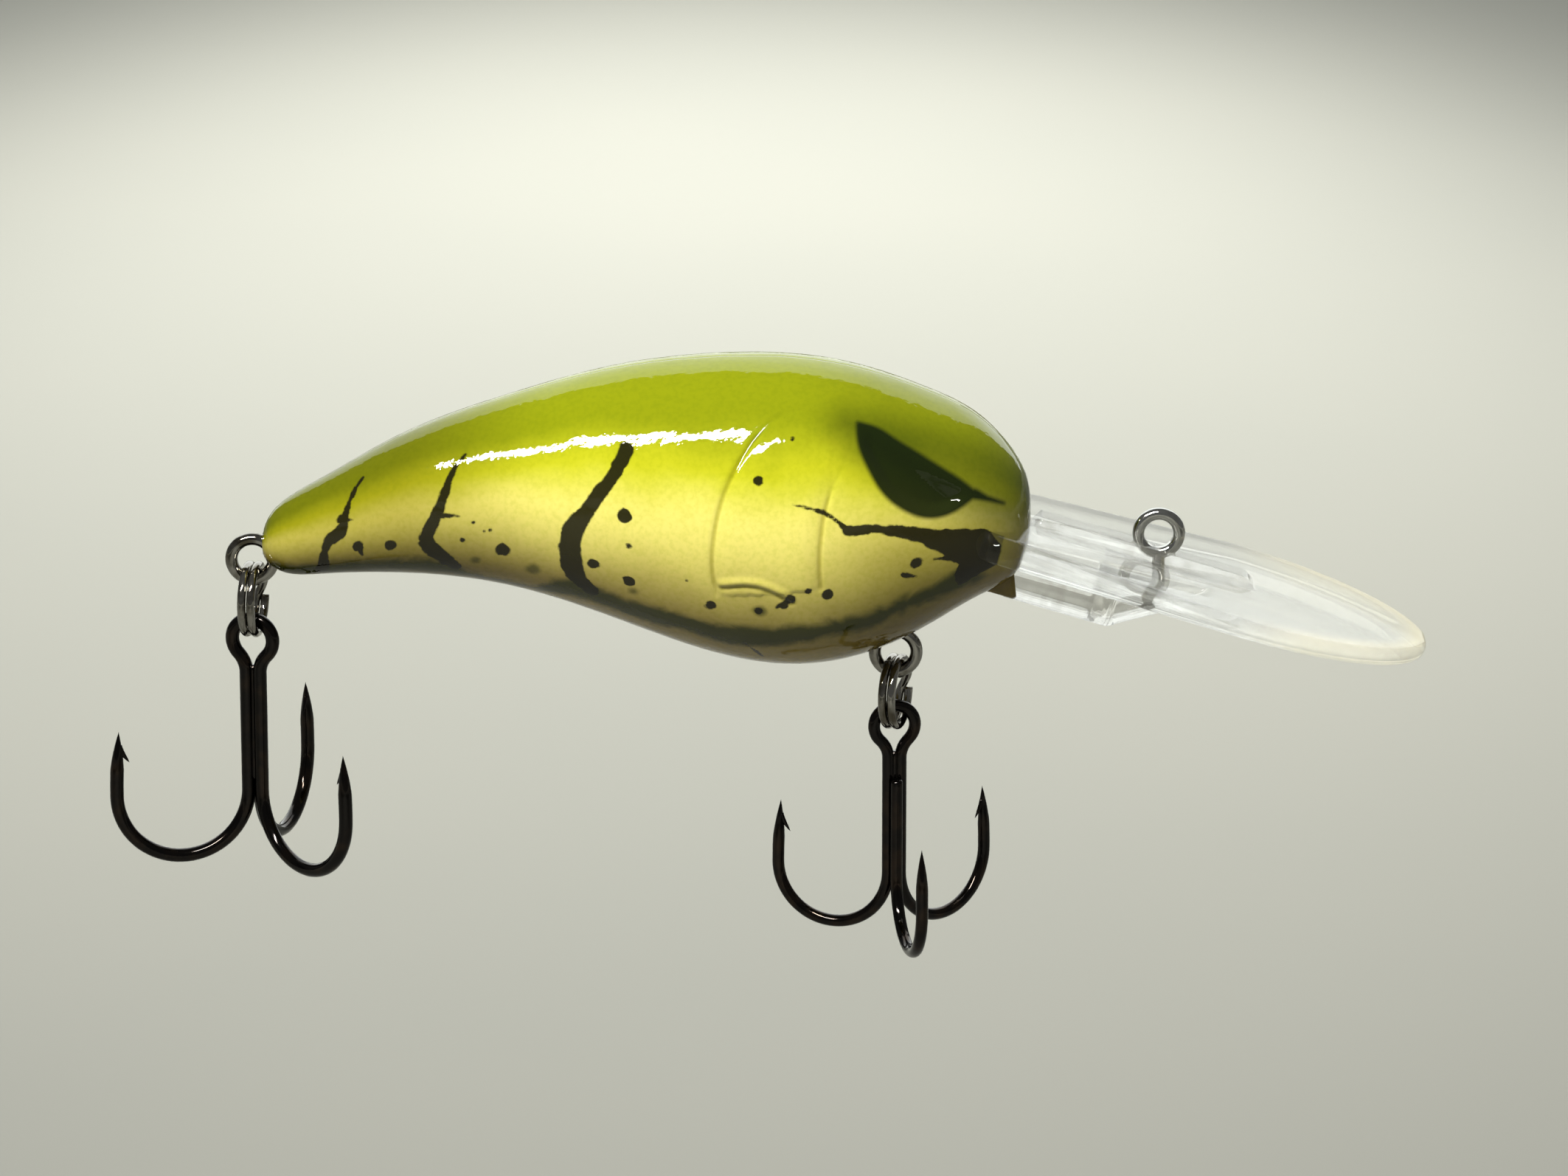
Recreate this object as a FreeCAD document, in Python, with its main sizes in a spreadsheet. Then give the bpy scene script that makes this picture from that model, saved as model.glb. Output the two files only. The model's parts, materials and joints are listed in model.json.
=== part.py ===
"""A deep-diving crankbait lure: two hollow body halves, a clear diving bill, wire hangers, split rings,
two treble hooks, fixed ballast and loose rattle balls.

Millimetres. +X points to the nose, +Y to the lure's left, +Z up. The origin is the centre of the
line-tie eye, where the fishing line is knotted on.
"""

import FreeCAD
import Part
import Sketcher
import math
import os
import re

document = FreeCAD.newDocument("crankbait")
sheet = document.addObject("Spreadsheet::Sheet", "Sizes")

# Every size that can be set by itself, in millimetres and degrees.
SIZES = {
    # body
    "body_length": 55.2,
    "body_height": 22.6,
    "body_width": 18.6,
    "body_wall": 1.2,
    "nose_behind_tie": 9.2,
    "body_axis_above_tie": 1.8,
    "fit_clearance": 0.05,
    # locating pegs on the left half, which go into bosses on the right half
    "peg_radius": 0.9,
    "peg_length": 1.8,
    "boss_radius": 1.9,
    # diving bill
    "bill_length": 33.6,
    "bill_root_inset": 3.4,
    "bill_root_width": 14.0,
    "bill_full_width": 19.6,
    "bill_thickness": 1.4,
    "bill_root_thickness": 2.2,
    "bill_tilt": 17.0,
    "bill_top_below_tie": 1.82,
    "bill_round_length": 14.0,
    "bill_rib_width": 2.8,
    "bill_rib_height": 0.7,
    "bill_rib_back": 4.0,
    "bill_rib_front": 19.0,
    "bill_rib_root": 0.4,
    "bill_keel_width": 2.6,
    "bill_keel_depth": 5.8,
    "bill_keel_back": 5.0,
    "bill_keel_level": 11.0,
    "bill_boss_radius": 1.6,
    "bill_boss_short": 0.1,
    "bill_keel_front": 20.4,
    "bill_tongue_width": 7.4,
    "bill_tongue_length": 4.6,
    "bill_pin_radius": 1.0,
    "bill_seat_cover": 1.3,
    "chin_length": 5.6,
    "chin_width": 3.0,
    # line tie
    "tie_wire": 0.9,
    "tie_hole": 2.1,
    "tie_land": 0.05,
    "tie_leg": 2.6,
    "tie_foot": 4.5,
    # hangers
    "hanger_wire": 0.9,
    "hanger_eye_outer": 3.9,
    "hanger_anchor_outer": 3.3,
    "hanger_length": 5.4,
    "belly_block_length": 6.0,
    "belly_block_width": 4.4,
    "tail_eye_behind": 0.7,
    "tail_hanger_rise": 16.0,
    # split rings
    "ring_outer": 5.5,
    "ring_wire": 0.62,
    "ring_coil_gap": 0.04,
    "link_gap": 0.07,
    "belly_treble_gap": 0.36,
    "tail_treble_gap": 0.12,
    "belly_ring_yaw": -16.0,
    "tail_ring_yaw": -9.0,
    # trebles
    "belly_hook_wire": 0.88,
    "belly_hook_reach": 8.9,
    "belly_hook_length": 17.8,
    "belly_hook_point": 4.7,
    "belly_hook_eye": 3.9,
    "belly_treble_yaw": 102.0,
    "tail_hook_wire": 1.0,
    "tail_hook_reach": 10.2,
    "tail_hook_length": 18.7,
    "tail_hook_point": 4.9,
    "tail_hook_eye": 4.1,
    "tail_treble_yaw": -108.0,
    "hook_spear_radius": 40.0,
    "hook_neck_radius": 2.0,
    "third_shank_gap": 1.4,
    "shank_gap": 0.03,
    "hook_point_share": 0.5,
    # ballast and rattles, ball diameters
    "front_ballast_ball": 6.35,
    "rear_ballast_ball": 5.0,
    "ballast_rib": 1.0,
    "ballast_gap": 0.12,
    "head_rattle_ball": 4.0,
    "middle_rattle_ball": 4.5,
    "tail_rattle_ball": 3.2,
    "rattle_tube_wall": 0.8,
    "rattle_clearance": 0.08,
}

# Sections of the body from tail to nose: place along the length, height of the section's centre above the
# body's axis as a share of the height, half height as a share of half the height, half width likewise.
BODY_SECTIONS = [
    (0.000, -0.115, 0.085, 0.085),
    (0.008, -0.105, 0.155, 0.150),
    (0.027, -0.092, 0.226, 0.225),
    (0.075, -0.058, 0.305, 0.310),
    (0.171, 0.013, 0.432, 0.440),
    (0.315, 0.064, 0.606, 0.610),
    (0.460, 0.058, 0.814, 0.815),
    (0.604, 0.017, 0.974, 0.975),
    (0.690, 0.001, 1.000, 1.000),
    (0.772, -0.002, 0.941, 0.955),
    (0.868, 0.010, 0.757, 0.815),
    (0.940, 0.012, 0.555, 0.640),
    (0.978, -0.012, 0.395, 0.460),
    (0.994, -0.010, 0.240, 0.280),
    (1.000, -0.005, 0.120, 0.135),
]
FIRST_HOLLOW_SECTION = 4
LAST_HOLLOW_SECTION = 11

ALONG_Y = FreeCAD.Rotation(FreeCAD.Vector(1, 0, 0), -90)
UPRIGHT = FreeCAD.Rotation()

# Places and sizes worked out from the sheet, each used in more than one piece.
DERIVED = {
    "tail_x": "(-nose_behind_tie - body_length)",
    "belly_eye_x": "(tail_x + body_length * 0.8252)",
    "belly_eye_z": "(body_axis_above_tie - body_height * 0.4748)",
    "tail_eye_x": "(tail_x - tail_eye_behind)",
    "tail_eye_z": "(body_axis_above_tie - body_height * 0.1655)",
    "hanger_eye_mean": "(hanger_eye_outer / 2 - hanger_wire / 2)",
    "hanger_anchor_mean": "(hanger_anchor_outer / 2 - hanger_wire / 2)",
    "ring_mean": "(ring_outer / 2 - ring_wire / 2)",
    "coil_offset": "(ring_wire / 2 + ring_coil_gap / 2)",
    # how far below the hanger eye's centre the ring's upper wires can lie
    "ring_room": "(hanger_eye_mean - hanger_wire / 2 - ring_wire / 2 - link_gap)",
    "ring_seat": "(sqrt(ring_room ^ 2 - coil_offset ^ 2))",
    "belly_ring_z": "(belly_eye_z - ring_seat - ring_mean)",
    "tail_ring_z": "(tail_eye_z - ring_seat - ring_mean)",
    "tie_land_mean": "(tie_hole / 2 + tie_wire / 2 - tie_land)",
    "bill_root_x": "(-nose_behind_tie - bill_root_inset)",
    "bill_root_z": "(-bill_top_below_tie - bill_root_x * tan(bill_tilt))",
    "bill_straight": "(bill_length - bill_round_length)",
    "ballast_floor": "(body_axis_above_tie + body_wall + ballast_gap)",
    "front_ballast_x": "(tail_x + body_length * 0.667)",
    "front_ballast_z": "(ballast_floor - body_height * 0.498 + front_ballast_ball / 2)",
    "rear_ballast_x": "(tail_x + body_length * 0.505)",
    "rear_ballast_z": "(ballast_floor - body_height * 0.385 + rear_ballast_ball / 2)",
}


def written_out(text):
    """An expression with every derived name and every alias of the sheet written out in full."""
    while True:
        longer = re.sub(r"[a-z_][a-z_0-9]*", lambda word: DERIVED.get(word[0], word[0]), text)
        if longer == text:
            break
        text = longer
    return re.sub(r"[a-z_][a-z_0-9]*", lambda word: alias(word[0]), text)


def alias(word):
    return "Sizes." + word if word in SIZES else word


def fill_sheet():
    for row, (name, value) in enumerate(SIZES.items(), 1):
        sheet.set("A%d" % row, name.replace("_", " "))
        sheet.set("B%d" % row, str(value))
        sheet.setAlias("B%d" % row, name)
    document.recompute()


def set_size(name):
    return float(sheet.get(name))


def bind(item, sizes):
    for name, text in sizes.items():
        item.setExpression(name, written_out(str(text)))


def place(item, at, turn=UPRIGHT, angle=None):
    item.Placement = FreeCAD.Placement(FreeCAD.Vector(0, 0, 0), turn)
    for axis, text in zip("xyz", at):
        if str(text) != "0":
            item.setExpression("Placement.Base." + axis, written_out(str(text)))
    if angle is not None:
        item.setExpression("Placement.Rotation.Angle", written_out(str(angle)))
    return item


def primitive(kind, name, sizes, at=(0, 0, 0), turn=UPRIGHT, angle=None):
    item = document.addObject("Part::" + kind, name)
    bind(item, sizes)
    return place(item, at, turn, angle)


def box(name, size, at, turn=UPRIGHT):
    return primitive("Box", name, {"Length": size[0], "Width": size[1], "Height": size[2]}, at, turn)


def ball(name, radius, at):
    return primitive("Sphere", name, {"Radius": radius}, at)


def cross_cylinder(name, radius, width, x, z):
    """A cylinder along Y, centred on the parting plane."""
    at = (x, "-(%s) / 2" % width, z)
    return primitive("Cylinder", name, {"Radius": radius, "Height": width}, at, ALONG_Y)


def fused(name, pieces):
    item = document.addObject("Part::MultiFuse", name)
    item.Shapes = pieces
    item.Refine = False
    return item


def cut(name, base, tool):
    item = document.addObject("Part::Cut", name)
    item.Base = base
    item.Tool = tool
    item.Refine = False
    return item


def common(name, base, tool):
    item = document.addObject("Part::Common", name)
    item.Base = base
    item.Tool = tool
    item.Refine = False
    return item


def body_loft(name, first, last, inset):
    """A loft through elliptical sections, inset from the outer surface, none of them wider than tall."""
    rings = []
    for number in range(first, last + 1):
        along, centre, half_height, half_width = BODY_SECTIONS[number]
        tall = "body_height / 2 * %g - %s" % (half_height, inset)
        wide = "body_width / 2 * %g - %s" % (half_width, inset)
        sizes = {"MajorRadius": tall, "MinorRadius": "min(%s; %s)" % (wide, tall)}
        at = ("tail_x + body_length * %g" % along, 0, "body_axis_above_tie + body_height * %g" % centre)
        turn = FreeCAD.Rotation(FreeCAD.Vector(0, 1, 0), -90)
        rings.append(primitive("Ellipse", "%s_section_%d" % (name, number), sizes, at, turn))
    loft = document.addObject("Part::Loft", name)
    loft.Sections = rings
    loft.Solid = True
    loft.Ruled = False
    return loft


def body_place(along, up):
    """A place inside the body, as shares of its length from the tail and of its height from its axis."""
    return "tail_x + body_length * %g" % along, "body_axis_above_tie + body_height * %g" % up


def local_group(name, pieces, at, turn, angle=None):
    """Pieces built in their own frame, joined and then placed together."""
    if len(pieces) > 1:
        return place(fused(name, pieces), at, turn, angle)
    group = document.addObject("Part::Compound", name)
    group.Links = pieces
    return place(group, at, turn, angle)


# Bosses that carry the locating pegs: place along the body and height.
BOSSES = [(0.167, 0.018), (0.373, -0.133), (0.415, 0.283), (0.678, 0.327), (0.884, 0.226)]

# Rattle tubes across the body: name of the ball, place along, height, half width of the body's outside there.
RATTLES = [("tail_rattle_ball", 0.297, 0.075, 0.55), ("middle_rattle_ball", 0.569, 0.186, 0.84),
           ("head_rattle_ball", 0.777, 0.120, 0.90)]

# Hangers: name, place of the eye's centre, and the turn from the eye towards the anchor loop.
HANGERS = [("belly_hanger", ("belly_eye_x", 0, "belly_eye_z"), "-90"),
           ("tail_hanger", ("tail_eye_x", 0, "tail_eye_z"), "-tail_hanger_rise")]
ABOUT_Y = FreeCAD.Rotation(FreeCAD.Vector(0, 1, 0), 1)
ABOUT_Z = FreeCAD.Rotation(FreeCAD.Vector(0, 0, 1), 1)
FORWARD = FreeCAD.Rotation(FreeCAD.Vector(0, 1, 0), 90)
# How far each wire of a pair lies from the pair's middle, as a share of the wire.
PAIR_HALF = 0.45


def hanger(name, at, angle):
    """A closed wire form: the outer eye, two wires side by side, and the anchor loop inside the body."""
    eye = primitive("Torus", name + "_eye", {"Radius1": "hanger_eye_mean", "Radius2": "hanger_wire / 2"},
                    turn=ALONG_Y)
    sizes = {"Radius1": "hanger_anchor_mean", "Radius2": "hanger_wire / 2"}
    anchor = primitive("Torus", name + "_anchor", sizes, ("hanger_length", 0, 0), ALONG_Y)
    wires = []
    run = "hanger_length - hanger_eye_mean - hanger_anchor_mean"
    for side, sign in (("upper", ""), ("lower", "-")):
        sizes = {"Radius": "hanger_wire / 2", "Height": run}
        at_wire = ("hanger_eye_mean", 0, "%shanger_wire * %g" % (sign, PAIR_HALF))
        wires.append(primitive("Cylinder", "%s_%s_wire" % (name, side), sizes, at_wire, FORWARD))
    return local_group(name, [eye, anchor] + wires, at, ABOUT_Y, angle)


def hanger_pocket(name, at, angle):
    """The slot that holds a hanger between the body halves, open round its outer eye."""
    width = "(hanger_wire + 2 * fit_clearance)"
    eye = cross_cylinder(name + "_eye_slot", "hanger_eye_outer / 2 + fit_clearance", width, 0, 0)
    anchor = cross_cylinder(name + "_anchor_slot", "hanger_anchor_outer / 2 + fit_clearance", width,
                            "hanger_length", 0)
    tall = "(hanger_wire * %g + 2 * fit_clearance)" % (2 * PAIR_HALF + 1)
    channel = box(name + "_channel", ("hanger_length", width, tall), (0, "-%s / 2" % width, "-%s / 2" % tall))
    return local_group(name + "_pocket", [eye, anchor, channel], at, ABOUT_Y, angle)


def hanger_pin(name, at, angle):
    """The pin through the anchor loop, moulded half on each body half."""
    radius = "hanger_anchor_outer / 2 - hanger_wire - fit_clearance"
    pin = cross_cylinder(name + "_pin_form", radius, "(hanger_wire + 0.6)", "hanger_length", 0)
    return local_group(name + "_pin", [pin], at, ABOUT_Y, angle)


def bill_plate(name, grow):
    """The bill's flat plate with its tongue, in the bill's frame: X along the slope, top surface at Z = 0."""
    half_root = "(bill_root_width / 2 + %s)" % grow
    half_full = "(bill_full_width / 2 + %s)" % grow
    sizes = {
        "Xmin": "-" + half_root, "Xmax": half_root, "Zmin": "-bill_root_thickness - " + grow, "Zmax": grow,
        "Ymin": "-" + grow, "Ymax": "bill_straight",
        "X2min": "-" + half_full, "X2max": half_full, "Z2min": "-bill_thickness - " + grow, "Z2max": grow,
    }
    turn = FreeCAD.Rotation(FreeCAD.Vector(0, 0, 1), -90)
    spread = primitive("Wedge", name + "_spread", sizes, turn=turn)
    width = "(bill_tongue_width + 2 * %s)" % grow
    tall = "(bill_root_thickness + 2 * %s)" % grow
    tongue = box(name + "_tongue", ("bill_tongue_length + 1 + " + grow, width, tall),
                 ("-bill_tongue_length - " + grow, "-%s / 2" % width, "-bill_root_thickness - " + grow))
    return [spread, tongue]


def bill_keel():
    """The fin under the bill, padded both ways from its outline on the parting plane."""
    body = document.addObject("PartDesign::Body", "bill_keel")
    plane = next(item for item in body.Origin.OriginFeatures if item.Role == "XZ_Plane")
    sketch = body.newObject("Sketcher::SketchObject", "keel_outline")
    sketch.AttachmentSupport = [(plane, "")]
    sketch.MapMode = "FlatFace"
    back = set_size("bill_keel_back")
    level = set_size("bill_keel_level")
    front = set_size("bill_keel_front")
    depth = set_size("bill_keel_depth")
    top = set_size("bill_thickness") / 2
    corners = [(back, -top), (back, -depth), (level, -depth), (front, -top)]
    for number, start in enumerate(corners):
        end = corners[(number + 1) % 4]
        sketch.addGeometry(Part.LineSegment(FreeCAD.Vector(*start, 0), FreeCAD.Vector(*end, 0)), False)
    for number in range(4):
        sketch.addConstraint(Sketcher.Constraint("Coincident", number, 2, (number + 1) % 4, 1))
    for kind, line in (("Vertical", 0), ("Horizontal", 1), ("Horizontal", 3)):
        sketch.addConstraint(Sketcher.Constraint(kind, line))
    distances = [("DistanceX", 0, "bill_keel_back"), ("DistanceX", 2, "bill_keel_level"),
                 ("DistanceX", 3, "bill_keel_front"), ("DistanceY", 1, "bill_keel_depth"),
                 ("DistanceY", 0, "bill_thickness / 2")]
    for kind, corner, size in distances:
        value = corners[corner][0] if kind == "DistanceX" else -corners[corner][1]
        if kind == "DistanceX":
            number = sketch.addConstraint(Sketcher.Constraint(kind, -1, 1, corner, 1, value))
        else:
            number = sketch.addConstraint(Sketcher.Constraint(kind, corner, 1, -1, 1, value))
        sketch.setExpression("Constraints[%d]" % number, written_out(size))
    pad = body.newObject("PartDesign::Pad", "keel_pad")
    pad.Profile = sketch
    pad.Midplane = True
    bind(pad, {"Length": "bill_keel_width"})
    return body


def bill_place():
    return ("bill_root_x", 0, "bill_root_z"), ABOUT_Y, "bill_tilt"


def tie_wire(name, grow):
    """The line tie: an eye above the bill, a leg down through it and a foot back along the keel."""
    radius = "tie_wire / 2 + " + grow
    low = (0, 0, "-tie_land_mean - tie_leg")
    backward = FreeCAD.Rotation(FreeCAD.Vector(0, -1, 0), 90)
    eye = primitive("Torus", name + "_eye", {"Radius1": "tie_land_mean", "Radius2": radius}, turn=ALONG_Y)
    leg = primitive("Cylinder", name + "_leg", {"Radius": radius, "Height": "tie_leg"}, low)
    elbow = ball(name + "_elbow", radius, low)
    sizes = {"Radius": radius, "Height": "tie_foot + " + grow}
    foot = primitive("Cylinder", name + "_foot", sizes, low, backward, "90 - bill_tilt")
    return [eye, leg, elbow, foot]


def split_ring(name, at_x, at_z, yaw):
    """Two close coils of wire, joined at one side, standing across the lure."""
    coils = []
    for side, sign in (("front", ""), ("back", "-")):
        sizes = {"Radius1": "ring_mean", "Radius2": "ring_wire / 2"}
        at = (sign + "coil_offset", 0, 0)
        coils.append(primitive("Torus", "%s_%s_coil" % (name, side), sizes, at, FORWARD))
    sizes = {"Radius": "ring_wire * 0.42", "Height": "2 * coil_offset"}
    joint = primitive("Cylinder", name + "_crossover", sizes, ("-coil_offset", "ring_mean", 0), FORWARD)
    return local_group(name, coils + [joint], (at_x, 0, at_z), ABOUT_Z, yaw)


class Treble:
    """Sizes of one treble hook, read from the sheet, in a frame whose origin is the centre of its eye."""

    def __init__(self, kind):
        self.wire = set_size(kind + "_hook_wire")
        self.eye = set_size(kind + "_hook_eye") / 2 - self.wire / 2
        self.spear = set_size("hook_spear_radius")
        self.neck = set_size("hook_neck_radius")
        self.gap = set_size("shank_gap")
        self.shank = (self.wire + self.gap) / math.sqrt(3)
        self.bend = (set_size(kind + "_hook_reach") - self.shank) / 2
        self.bend_z = self.eye + self.wire + self.bend - set_size(kind + "_hook_length")
        self.point = set_size(kind + "_hook_point")
        self.ground = set_size("hook_point_share")
        self.leg = (self.wire + self.gap) / 2
        self.neck_z = -math.sqrt((self.eye + self.neck) ** 2 - (self.leg + self.neck) ** 2)
        self.third_top = self.neck_z - set_size("third_shank_gap")


def spear_end(treble):
    """How far the spear's arc turns before the ground point starts."""
    return math.asin(treble.point * (1 - treble.ground) / treble.spear)


def hook_edges(treble, azimuth):
    """Centre line from the ground point round the bend to the shank's foot, in the plane of one hook."""
    out = FreeCAD.Vector(math.cos(azimuth), math.sin(azimuth), 0)
    up = FreeCAD.Vector(0, 0, 1)

    def at(radial, height):
        return out * radial + up * height

    far = treble.shank + 2 * treble.bend
    centre = far - treble.spear
    turn = spear_end(treble)
    spear = [at(centre + treble.spear * math.cos(a), treble.bend_z + treble.spear * math.sin(a))
             for a in (turn, turn / 2, 0)]
    middle = treble.shank + treble.bend
    bend = [at(far, treble.bend_z), at(middle, treble.bend_z - treble.bend), at(treble.shank, treble.bend_z)]
    return [Part.Arc(*spear).toShape(), Part.Arc(*bend).toShape()]


def hook_point(treble, azimuth):
    """The ground point, a cone, and the barb that stands off its inner side."""
    out = FreeCAD.Vector(math.cos(azimuth), math.sin(azimuth), 0)
    up = FreeCAD.Vector(0, 0, 1)
    turn = spear_end(treble)
    far = treble.shank + 2 * treble.bend
    base = out * (far - treble.spear + treble.spear * math.cos(turn)) + up * (
        treble.bend_z + treble.spear * math.sin(turn))
    direction = up * math.cos(turn) - out * math.sin(turn)
    length = treble.point * treble.ground / math.cos(turn)
    cone = Part.makeCone(treble.wire / 2, treble.wire * 0.04, length, base, direction)
    inward = out * -1
    start = base + direction * length * 0.35 + inward * treble.wire * 0.08
    slope = inward * 0.5 - direction
    barb = Part.makeCone(treble.wire * 0.22, treble.wire * 0.03, length * 0.62, start, slope)
    return [cone, barb]


def swept(edges, wire):
    """A round wire along a chain of tangent edges."""
    first = edges[0]
    start = first.valueAt(first.FirstParameter)
    tangent = first.tangentAt(first.FirstParameter)
    ring = Part.Wire([Part.Circle(start, tangent, wire / 2).toShape()])
    return Part.Wire(edges).makePipeShell([ring], True, False)


def side_of_eye(treble, sign):
    """Centre line from the top of a shank out round one side of the eye to its top."""
    x = treble.shank / 2
    neck_y = treble.leg + treble.neck
    reach = treble.eye + treble.neck
    meet = FreeCAD.Vector(x, sign * neck_y * treble.eye / reach, treble.neck_z * treble.eye / reach)
    foot = FreeCAD.Vector(x, sign * treble.leg, treble.neck_z)
    start = math.pi
    finish = math.pi - math.asin(-treble.neck_z / reach)
    middle = (start + finish) / 2
    between = FreeCAD.Vector(x, sign * (neck_y + treble.neck * math.cos(middle)),
                             treble.neck_z + treble.neck * math.sin(middle))
    top = FreeCAD.Vector(x, 0, treble.eye)
    low = -math.asin(-treble.neck_z / reach)
    middle = (low + math.pi / 2) / 2
    around = FreeCAD.Vector(x, sign * treble.eye * math.cos(middle), treble.eye * math.sin(middle))
    return [Part.Arc(foot, between, meet).toShape(), Part.Arc(meet, around, top).toShape()]


def hook_half(treble, azimuth, sign):
    """One side of the double hook: point, bend, shank and half of the eye, in one run of wire."""
    out = FreeCAD.Vector(math.cos(azimuth), math.sin(azimuth), 0)
    low = out * treble.shank + FreeCAD.Vector(0, 0, treble.bend_z)
    high = FreeCAD.Vector(treble.shank / 2, sign * treble.leg, treble.neck_z)
    edges = hook_edges(treble, azimuth) + [Part.LineSegment(low, high).toShape()]
    edges += side_of_eye(treble, sign)
    return edges


def double_hook(name, treble):
    """Two hooks bent from one wire, with the eye between them."""
    azimuth = math.radians(60)
    item = document.addObject("Part::Feature", name)
    left = hook_half(treble, azimuth, 1)
    right = hook_half(treble, -azimuth, -1)
    solids = []
    for edges, angle in ((left, azimuth), (right, -azimuth)):
        solids.append(swept(edges, treble.wire))
        solids += hook_point(treble, angle)
    item.Shape = solids[0].fuse(solids[1:])
    return item


def third_hook(name, treble):
    """The single hook whose shank lies along the other two."""
    azimuth = math.pi
    item = document.addObject("Part::Feature", name)
    low = FreeCAD.Vector(-treble.shank, 0, treble.bend_z)
    high = FreeCAD.Vector(-treble.shank, 0, treble.third_top)
    edges = hook_edges(treble, azimuth) + [Part.LineSegment(low, high).toShape()]
    item.Shape = swept(edges, treble.wire).fuse(hook_point(treble, azimuth))
    return item


fill_sheet()
parts = {}

# body
outer = body_loft("outer_form", 0, len(BODY_SECTIONS) - 1, "0")
hollow = body_loft("hollow_form", FIRST_HOLLOW_SECTION, LAST_HOLLOW_SECTION, "body_wall")
inside = []
for number, (along, up) in enumerate(BOSSES, 1):
    inside.append(cross_cylinder("boss_%d" % number, "boss_radius", "body_width", *body_place(along, up)))
bores = []
for name, along, up, half_width in RATTLES:
    tube = "%s / 2 + rattle_clearance + rattle_tube_wall" % name
    inside.append(cross_cylinder(name + "_tube", tube, "body_width", *body_place(along, up)))
    width = "(body_width * %g - 2 * body_wall)" % half_width
    bore = "%s / 2 + rattle_clearance" % name
    bores.append(cross_cylinder(name + "_bore", bore, width, *body_place(along, up)))
for name in ("front_ballast", "rear_ballast"):
    for end, sign in (("front", "+"), ("back", "-")):
        x = "%s_x %s %s_ball * 0.3 - ballast_rib / 2" % (name, sign, name)
        inside.append(box("%s_%s_rib" % (name, end), ("ballast_rib", "body_width", "body_height"),
                          (x, "-body_width / 2", "%s_z + 1 - body_height" % name)))
    bores.append(ball(name + "_seat", "%s_ball / 2 + fit_clearance" % name, (name + "_x", 0, name + "_z")))
inside.append(box("belly_anchor_block", ("belly_block_length", "belly_block_width", "hanger_length + 4"),
                  ("belly_eye_x - belly_block_length / 2", "-belly_block_width / 2", "belly_eye_z - 1")))
seat_tall = "(bill_root_thickness + 2 * bill_seat_cover)"
seat = box("bill_seat_form", ("bill_tongue_length + bill_root_inset + 2", "body_width", seat_tall),
           ("-bill_tongue_length - 1", "-body_width / 2", "-bill_root_thickness - bill_seat_cover"))
inside.append(local_group("bill_seat", [seat], *bill_place()))
blocks = common("blocks", fused("block_forms", inside), outer)
chin_size = ("chin_length", "chin_width", "bill_keel_depth - bill_root_thickness")
chin_at = ("bill_keel_back - fit_clearance - chin_length", "-chin_width / 2", "-bill_keel_depth")
chin = local_group("chin", [box("chin_form", chin_size, chin_at)], *bill_place())
shell = fused("shell_with_blocks", [cut("shell_form", outer, hollow), blocks, chin])
slot = local_group("bill_slot", bill_plate("slot", "fit_clearance"), *bill_place())
pockets = [hanger_pocket(*each) for each in HANGERS]
opened = cut("shell_opened", shell, fused("pockets", bores + pockets + [slot]))
bill_pin = primitive("Cylinder", "bill_pin_form",
                     {"Radius": "bill_pin_radius", "Height": "bill_root_thickness + 1"},
                     ("-bill_tongue_length / 2", 0, "-bill_root_thickness - 0.5"))
pins = [hanger_pin(*each) for each in HANGERS] + [local_group("bill_pin", [bill_pin], *bill_place())]
whole = fused("both_halves", [opened] + pins)

for side, low in (("left", "0"), ("right", "-body_width")):
    half_space = box(side + "_space", ("body_length + 20", "body_width", "body_height * 2"),
                     ("tail_x - 10", low, "-body_height"))
    half = common(side + "_half", whole, half_space)
    pegs = []
    for number, (along, up) in enumerate(BOSSES, 1):
        x, z = body_place(along, up)
        grow = "" if side == "left" else " + fit_clearance"
        base = "-peg_length" if side == "left" else "-peg_length - 2 * fit_clearance"
        sizes = {"Radius": "peg_radius" + grow, "Height": "peg_length + 0.5"}
        pegs.append(primitive("Cylinder", "%s_peg_%d" % (side, number), sizes, (x, base, z), ALONG_Y))
    pegs = fused(side + "_pegs", pegs)
    name = side + "_body_shell"
    parts[name] = fused(name, [half, pegs]) if side == "left" else cut(name, half, pegs)

# diving bill
rim_sizes = {"MajorRadius": "bill_round_length", "MinorRadius": "bill_full_width / 2"}
rim = primitive("Ellipse", "bill_rim", rim_sizes, ("bill_straight", 0, "-bill_thickness"))
tip = document.addObject("Part::Extrusion", "bill_tip")
tip.Base = rim
tip.DirMode = "Custom"
tip.Dir = FreeCAD.Vector(0, 0, 1)
tip.Solid = True
bind(tip, {"LengthFwd": "bill_thickness"})
rib_size = ("bill_rib_front - bill_rib_back", "bill_rib_width", "bill_rib_height + bill_rib_root")
rib = box("bill_rib", rib_size, ("bill_rib_back", "-bill_rib_width / 2", "-bill_rib_root"))
rib_sizes = {"Radius": "bill_rib_width / 2", "Height": "bill_rib_height + bill_rib_root"}
rib_end = primitive("Cylinder", "bill_rib_end", rib_sizes, ("bill_rib_front", 0, "-bill_rib_root"))
boss_sizes = {"Radius": "bill_boss_radius", "Height": "bill_keel_depth - bill_boss_short - bill_rib_root"}
boss_at = ("bill_keel_level - 0.6", 0, "bill_boss_short - bill_keel_depth")
boss = primitive("Cylinder", "bill_boss", boss_sizes, boss_at)
bill_pieces = bill_plate("bill", "0") + [tip, rib, rib_end, boss, bill_keel()]
bill_blank = local_group("bill_blank", bill_pieces, *bill_place())
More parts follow.
